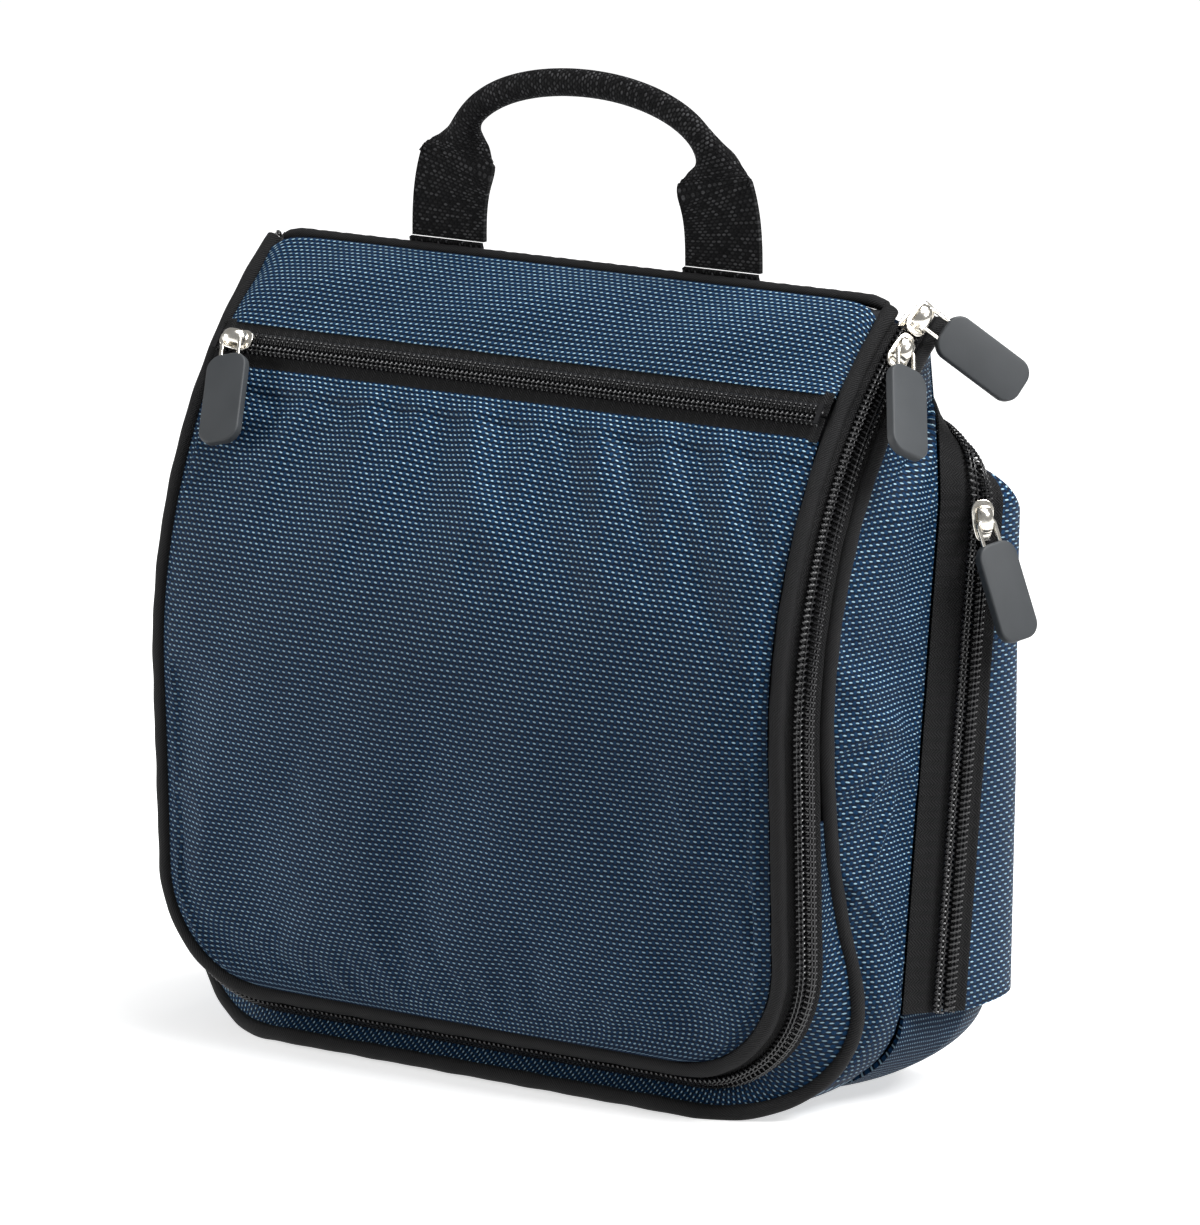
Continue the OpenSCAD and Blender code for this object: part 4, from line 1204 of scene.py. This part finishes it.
# %% Webbing strap
WEB_W, WEB_T = 30 * MM, 1.9 * MM
GRIP_W, GRIP_T = 10 * MM, 6 * MM
HANDLE_Y = (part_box("handle_leg_right")[0].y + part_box("handle_leg_right")[1].y) / 2
LEG_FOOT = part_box("handle_leg_right")[0].z
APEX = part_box("handle_grip")[1].z - GRIP_W / 2
LEG_X = 56.5 * MM
GRIP_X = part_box("handle_grip")[1].x - GRIP_W / 2
GRIP_FOOT = RIDGE_Z + 30 * MM
LEG_SHARE = 0.25


def strap_path(share):
    """The strap's middle line in the plane of the handle, from the right foot over to the left."""
    turn = np.clip((share - LEG_SHARE) / (1 - 2 * LEG_SHARE), 0, 1) * math.pi
    rise = np.clip(np.minimum(share, 1 - share) / LEG_SHARE, 0, 1)
    on_leg = (share < LEG_SHARE) | (share > 1 - LEG_SHARE)
    side = np.where(share < 0.5, 1, -1)
    x = np.where(on_leg, side * (LEG_X + (GRIP_X - LEG_X) * rise ** 3), GRIP_X * np.cos(turn))
    z = np.where(on_leg, LEG_FOOT + (GRIP_FOOT - LEG_FOOT) * rise,
                 GRIP_FOOT + (APEX - GRIP_FOOT) * np.abs(np.sin(turn)) ** 0.8)
    return np.stack([x, 0 * x + HANDLE_Y, z], axis=1)


strap_even = even(strap_path, 0, 1)


def smooth_path(share, reach=0.02):
    """The same line with its bends eased."""
    near = [np.clip(strap_even(share) + d, 0, 1) for d in np.linspace(-reach, reach, 9)]
    return np.mean([strap_path(s) for s in near], axis=0)


STRAP_LEN = length_of(smooth_path)
FOLD_FROM, FOLD_RUN = 27 * MM, 20 * MM
print("strap:", round(STRAP_LEN / MM), "mm of webbing", round(WEB_W / MM), "mm wide")


def strap_place(u, v):
    """Flat at each foot, and folded into a tube once it is clear of the seam."""
    step = 1e-3
    run = unit(smooth_path(np.minimum(v + step, 1)) - smooth_path(np.maximum(v - step, 0)))
    outer = np.cross(run, [0, -1, 0])
    from_foot = np.minimum(v, 1 - v) * STRAP_LEN
    fold = np.clip((from_foot - FOLD_FROM) / FOLD_RUN, 0, 1)
    fold = fold * fold * (3 - 2 * fold)
    side = 2 * u - 1
    curl = math.pi * side * 0.97
    flat_x = side * WEB_W / 2
    tube_x, tube_y = (GRIP_W / 2 - 0.3 * MM) * np.sin(curl), (GRIP_T / 2) * (1 - np.cos(curl))
    across = flat_x * (1 - fold) + tube_x * fold
    back = tube_y * fold + 2.5 * MM * np.sin(fold * math.pi) * side ** 2
    front = GRIP_T / 2 * fold + WEB_T / 2 * (1 - fold)
    return smooth_path(v) + across[:, None] * outer + (back - front)[:, None] * np.array([0, 1, 0])


strap = skin("handle_strap", 28, 230, strap_place, outward=(0, -1, 0), wall=WEB_T,
             flat=lambda u, v: np.stack([v * STRAP_LEN, (u - 0.5) * WEB_W], axis=1))
hand_over(strap, handle_webbing, "webbing", "handle_leg_right", "handle_leg_left", "handle_grip")

tails = []
for side, name in ((1, "handle_tail_right"), (-1, "handle_tail_left")):
    def tail_place(u, v, side=side):
        profile = back_profile(0.12 + 0.38 * np.clip(v * 1.4 - 0.4, 0, 1)) - 2 * MM
        rise = np.clip(1 - v / 0.28, 0, 1)[:, None]
        top = np.array([HANDLE_Y - 1.3 * MM, LEG_FOOT + 0.5 * MM])
        x = side * LEG_X + (u - 0.5) * WEB_W
        return np.column_stack([x, profile * (1 - rise) + top * rise])
    tails.append(skin(name, 20, 16, tail_place, outward=(0, 1, 1), wall=MID_CLOTH))
pick(*tails)
bpy.ops.object.join()
tails[0].name = "handle_tail_ends"
hand_over(tails[0], handle_webbing, "webbing", "handle_tails")

# %% [markdown]
# ## Sliders, links and pulls
# The slider is a cast and plated shell with a domed bridge. A bent wire hangs in the bridge, and its two ends
# are moulded into a rubber pull. One of each is modelled lying at the origin and then copied into four places.

# %% One slider, one link and one pull
SLIDER_L, SLIDER_W, PLATE_T = 13.5 * MM, 8.2 * MM, 1.1 * MM
PLATE_Z = 3.1 * MM
DOME_L, DOME_W, DOME_H = 9.8 * MM, 5.4 * MM, 5.0 * MM


def plate(z):
    """The shield-shaped plate: two lobes at the mouth and a narrow tail."""
    bpy.ops.object.select_all(action="DESELECT")
    bpy.ops.mesh.primitive_circle_add(vertices=40, radius=1, fill_type="NGON", location=(0, 0, 0))
    piece = bpy.context.object
    round_points = points_of(piece)
    x, y = round_points[:, 0], round_points[:, 1]
    width = SLIDER_W / 2 * np.interp(x, [-1, -0.4, 0.5, 1], [0.72, 0.78, 1.0, 0.9])
    square = np.sign(y) * np.abs(y) ** 0.55
    put_points(piece, np.stack([np.sign(x) * np.abs(x) ** 0.75 * SLIDER_L / 2, square * width, 0 * x + z], axis=1))
    edit(piece, lambda: bpy.ops.mesh.extrude_region_move(TRANSFORM_OT_translate={"value": (0, 0, PLATE_T)}),
         lambda: bpy.ops.mesh.select_all(action="SELECT"),
         lambda: bpy.ops.mesh.normals_make_consistent(inside=False))
    modify(piece, "BEVEL", width=0.32 * MM, segments=3, limit_method="ANGLE", angle_limit=math.radians(40))
    return piece


def dome_place(u, v):
    """The bridge: an arch along the slider that rounds off to each side."""
    reach, side = (2 * v - 1), (2 * u - 1)
    arch = np.sqrt(np.clip(1 - np.abs(reach) ** 2.4, 0, 1))
    width = DOME_W / 2 * (0.78 + 0.22 * arch)
    x = reach * DOME_L / 2 * (1 - 0.06 * side ** 2)
    z = PLATE_Z + PLATE_T * 0.5 + DOME_H * arch * (1 - 0.28 * side ** 2)
    return np.stack([x, side * width, z], axis=1)


def joined(name, *parts):
    pick(*parts)
    bpy.ops.object.join()
    parts[0].name = parts[0].data.name = name
    smooth(parts[0], 40)
    return parts[0]


def post():
    """The web that joins the two plates and parts the coils."""
    bpy.ops.object.select_all(action="DESELECT")
    bpy.ops.mesh.primitive_cube_add(size=1, location=(-3 * MM, 0, 1.2 * MM), scale=(4.5 * MM, 0.8 * MM, 5 * MM))
    piece = bpy.context.object
    bpy.ops.object.transform_apply(location=True, rotation=True, scale=True)
    modify(piece, "BEVEL", width=0.2 * MM, segments=2)
    return piece


dome = skin("dome", 14, 26, dome_place, outward=(0, 0, 1), wall=1.0 * MM)
modify(dome, "BEVEL", width=0.22 * MM, segments=2, limit_method="ANGLE", angle_limit=math.radians(45))
slider_model = joined("slider_model", plate(PLATE_Z), plate(-2.1 * MM), post(), dome)
LINK_WIRE, LINK_LEN = 0.72 * MM, 7.5 * MM
PULL_W, PULL_LEN, PULL_T = 15.5 * MM, 33 * MM, 3.5 * MM
LINK_HALF = 3.4 * MM


def link_line(share):
    """A staple shape: across the bridge and down both sides into the pull."""
    leg = LINK_LEN + 3 * MM
    bend = 1.3 * MM
    path = np.array([[-LINK_HALF, -leg], [-LINK_HALF, -bend], [-LINK_HALF + 0.35 * bend, -0.35 * bend],
                     [-LINK_HALF + bend, 0], [LINK_HALF - bend, 0], [LINK_HALF - 0.35 * bend, -0.35 * bend],
                     [LINK_HALF, -bend], [LINK_HALF, -leg]])
    run = run_along(path)

    def at(reach):
        return np.column_stack([np.interp(reach, run, path[:, 0]), np.interp(reach, run, path[:, 1]), 0 * reach])
    reach, step = share * run[-1], 1e-4
    ahead = unit(at(reach + step) - at(reach - step))
    return at(reach), np.column_stack([-ahead[:, 1], ahead[:, 0], 0 * reach]), np.tile([0, 0, 1], (len(reach), 1))


link_model = tube("link_model", 60, 12, link_line, LINK_WIRE)


def pull_shape():
    """A flat bar with rounded corners, its rims rounded over and a shallow lip round the face."""
    bpy.ops.object.select_all(action="DESELECT")
    bpy.ops.mesh.primitive_cube_add(size=1, location=(0, -LINK_LEN - PULL_LEN / 2, 0),
                                    scale=(PULL_W, PULL_LEN, PULL_T))
    piece = bpy.context.object
    bpy.ops.object.transform_apply(location=True, rotation=True, scale=True)

    def select_upright():
        bpy.ops.mesh.select_all(action="DESELECT")
        bpy.ops.mesh.select_mode(type="EDGE")
        bpy.ops.object.mode_set(mode="OBJECT")
        for edge in piece.data.edges:
            a, b = (piece.data.vertices[i].co for i in edge.vertices)
            edge.select = abs(a.z - b.z) > PULL_T / 2
        bpy.ops.object.mode_set(mode="EDIT")
    edit(piece, select_upright, lambda: bpy.ops.mesh.bevel(offset=5.2 * MM, segments=10, profile=0.5))
    modify(piece, "BEVEL", width=0.75 * MM, segments=4, limit_method="ANGLE", angle_limit=math.radians(50))
    piece.name = piece.data.name = "pull_model"
    smooth(piece, 60)
    return piece


pull_model = pull_shape()


# %% The four places
def matrix(x, y, z, at):
    """Turns the model's own ways into x, y and z, and puts its origin at a place."""
    return Matrix(np.vstack([np.column_stack([x, y, z, at]), [0, 0, 0, 1]]))


PIVOT_H = 6.58 * MM


def fit_slider(at, across, out, down, face, slider_node, link_node, pull_node, name):
    """Puts a slider on its chain and hangs its link and pull down from the bridge."""
    across, out = np.array(across, float), np.array(out, float)
    along = unit(np.cross(across, out))
    down = unit(np.array(down, float))
    face = np.array(face, float)
    face = unit(face - (face @ down) * down)
    slider = copied(slider_model, name + "_slider_body", matrix(along, across, out, at))
    hand_over(slider, nickel, "nickel", slider_node)
    hung = matrix(np.cross(-down, face), -down, face, at + PIVOT_H * out)
    hand_over(copied(link_model, name + "_wire", hung), nickel, "nickel", link_node)
    hand_over(copied(pull_model, name + "_tab", hung), pull_rubber, "pull_rubber", pull_node)


def main_place(stage):
    return [way[0] for way in chain_point(stage, TAPE_T / 2)]


UPPER_STAGE = 0.8 * STAGE_MM
LOWER_STAGE = UPPER_STAGE + (SLIDER_L / MM + 1.4) * STAGE_MM
fit_slider(*main_place(LOWER_STAGE), (0.39, -0.54, -0.75), (0.95, -0.3, 0.1),
           "main_slider_lower", "main_link_lower", "main_pull_lower", "lower")
fit_slider(*main_place(UPPER_STAGE), (0.57, 0.55, -0.61), (0.85, -0.5, 0.2),
           "main_slider_upper", "main_link_upper", "main_pull_upper", "upper")
rear_at, rear_across, rear_out = (way[0] for way in rear_zip(0.97))
fit_slider(rear_at + TAPE_T / 2 * rear_out, -rear_across, rear_out, (0.34, 0.05, -1), (0.95, -0.3, 0.15),
           "rear_slider", "rear_link", "rear_pull", "rear")
SLIDER_X = -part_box("pocket_slider")[0].x - SLIDER_L / 2
pocket_into = seam(POCKET_STAGE)[2][0]
pocket_at = seam(POCKET_STAGE)[0][0] * np.array([0, 1, 1]) - SLIDER_X * X_WAY + POCKET_ZIP_Q * pocket_into
fit_slider(pocket_at, unit(np.cross(pocket_into, -X_WAY)), -pocket_into, (0.27, -0.53, -0.8), (0, -0.83, 0.55),
           "pocket_slider", "pocket_link", "pocket_pull", "pocket")
for model in (slider_model, link_model, pull_model):
    bpy.data.objects.remove(model)
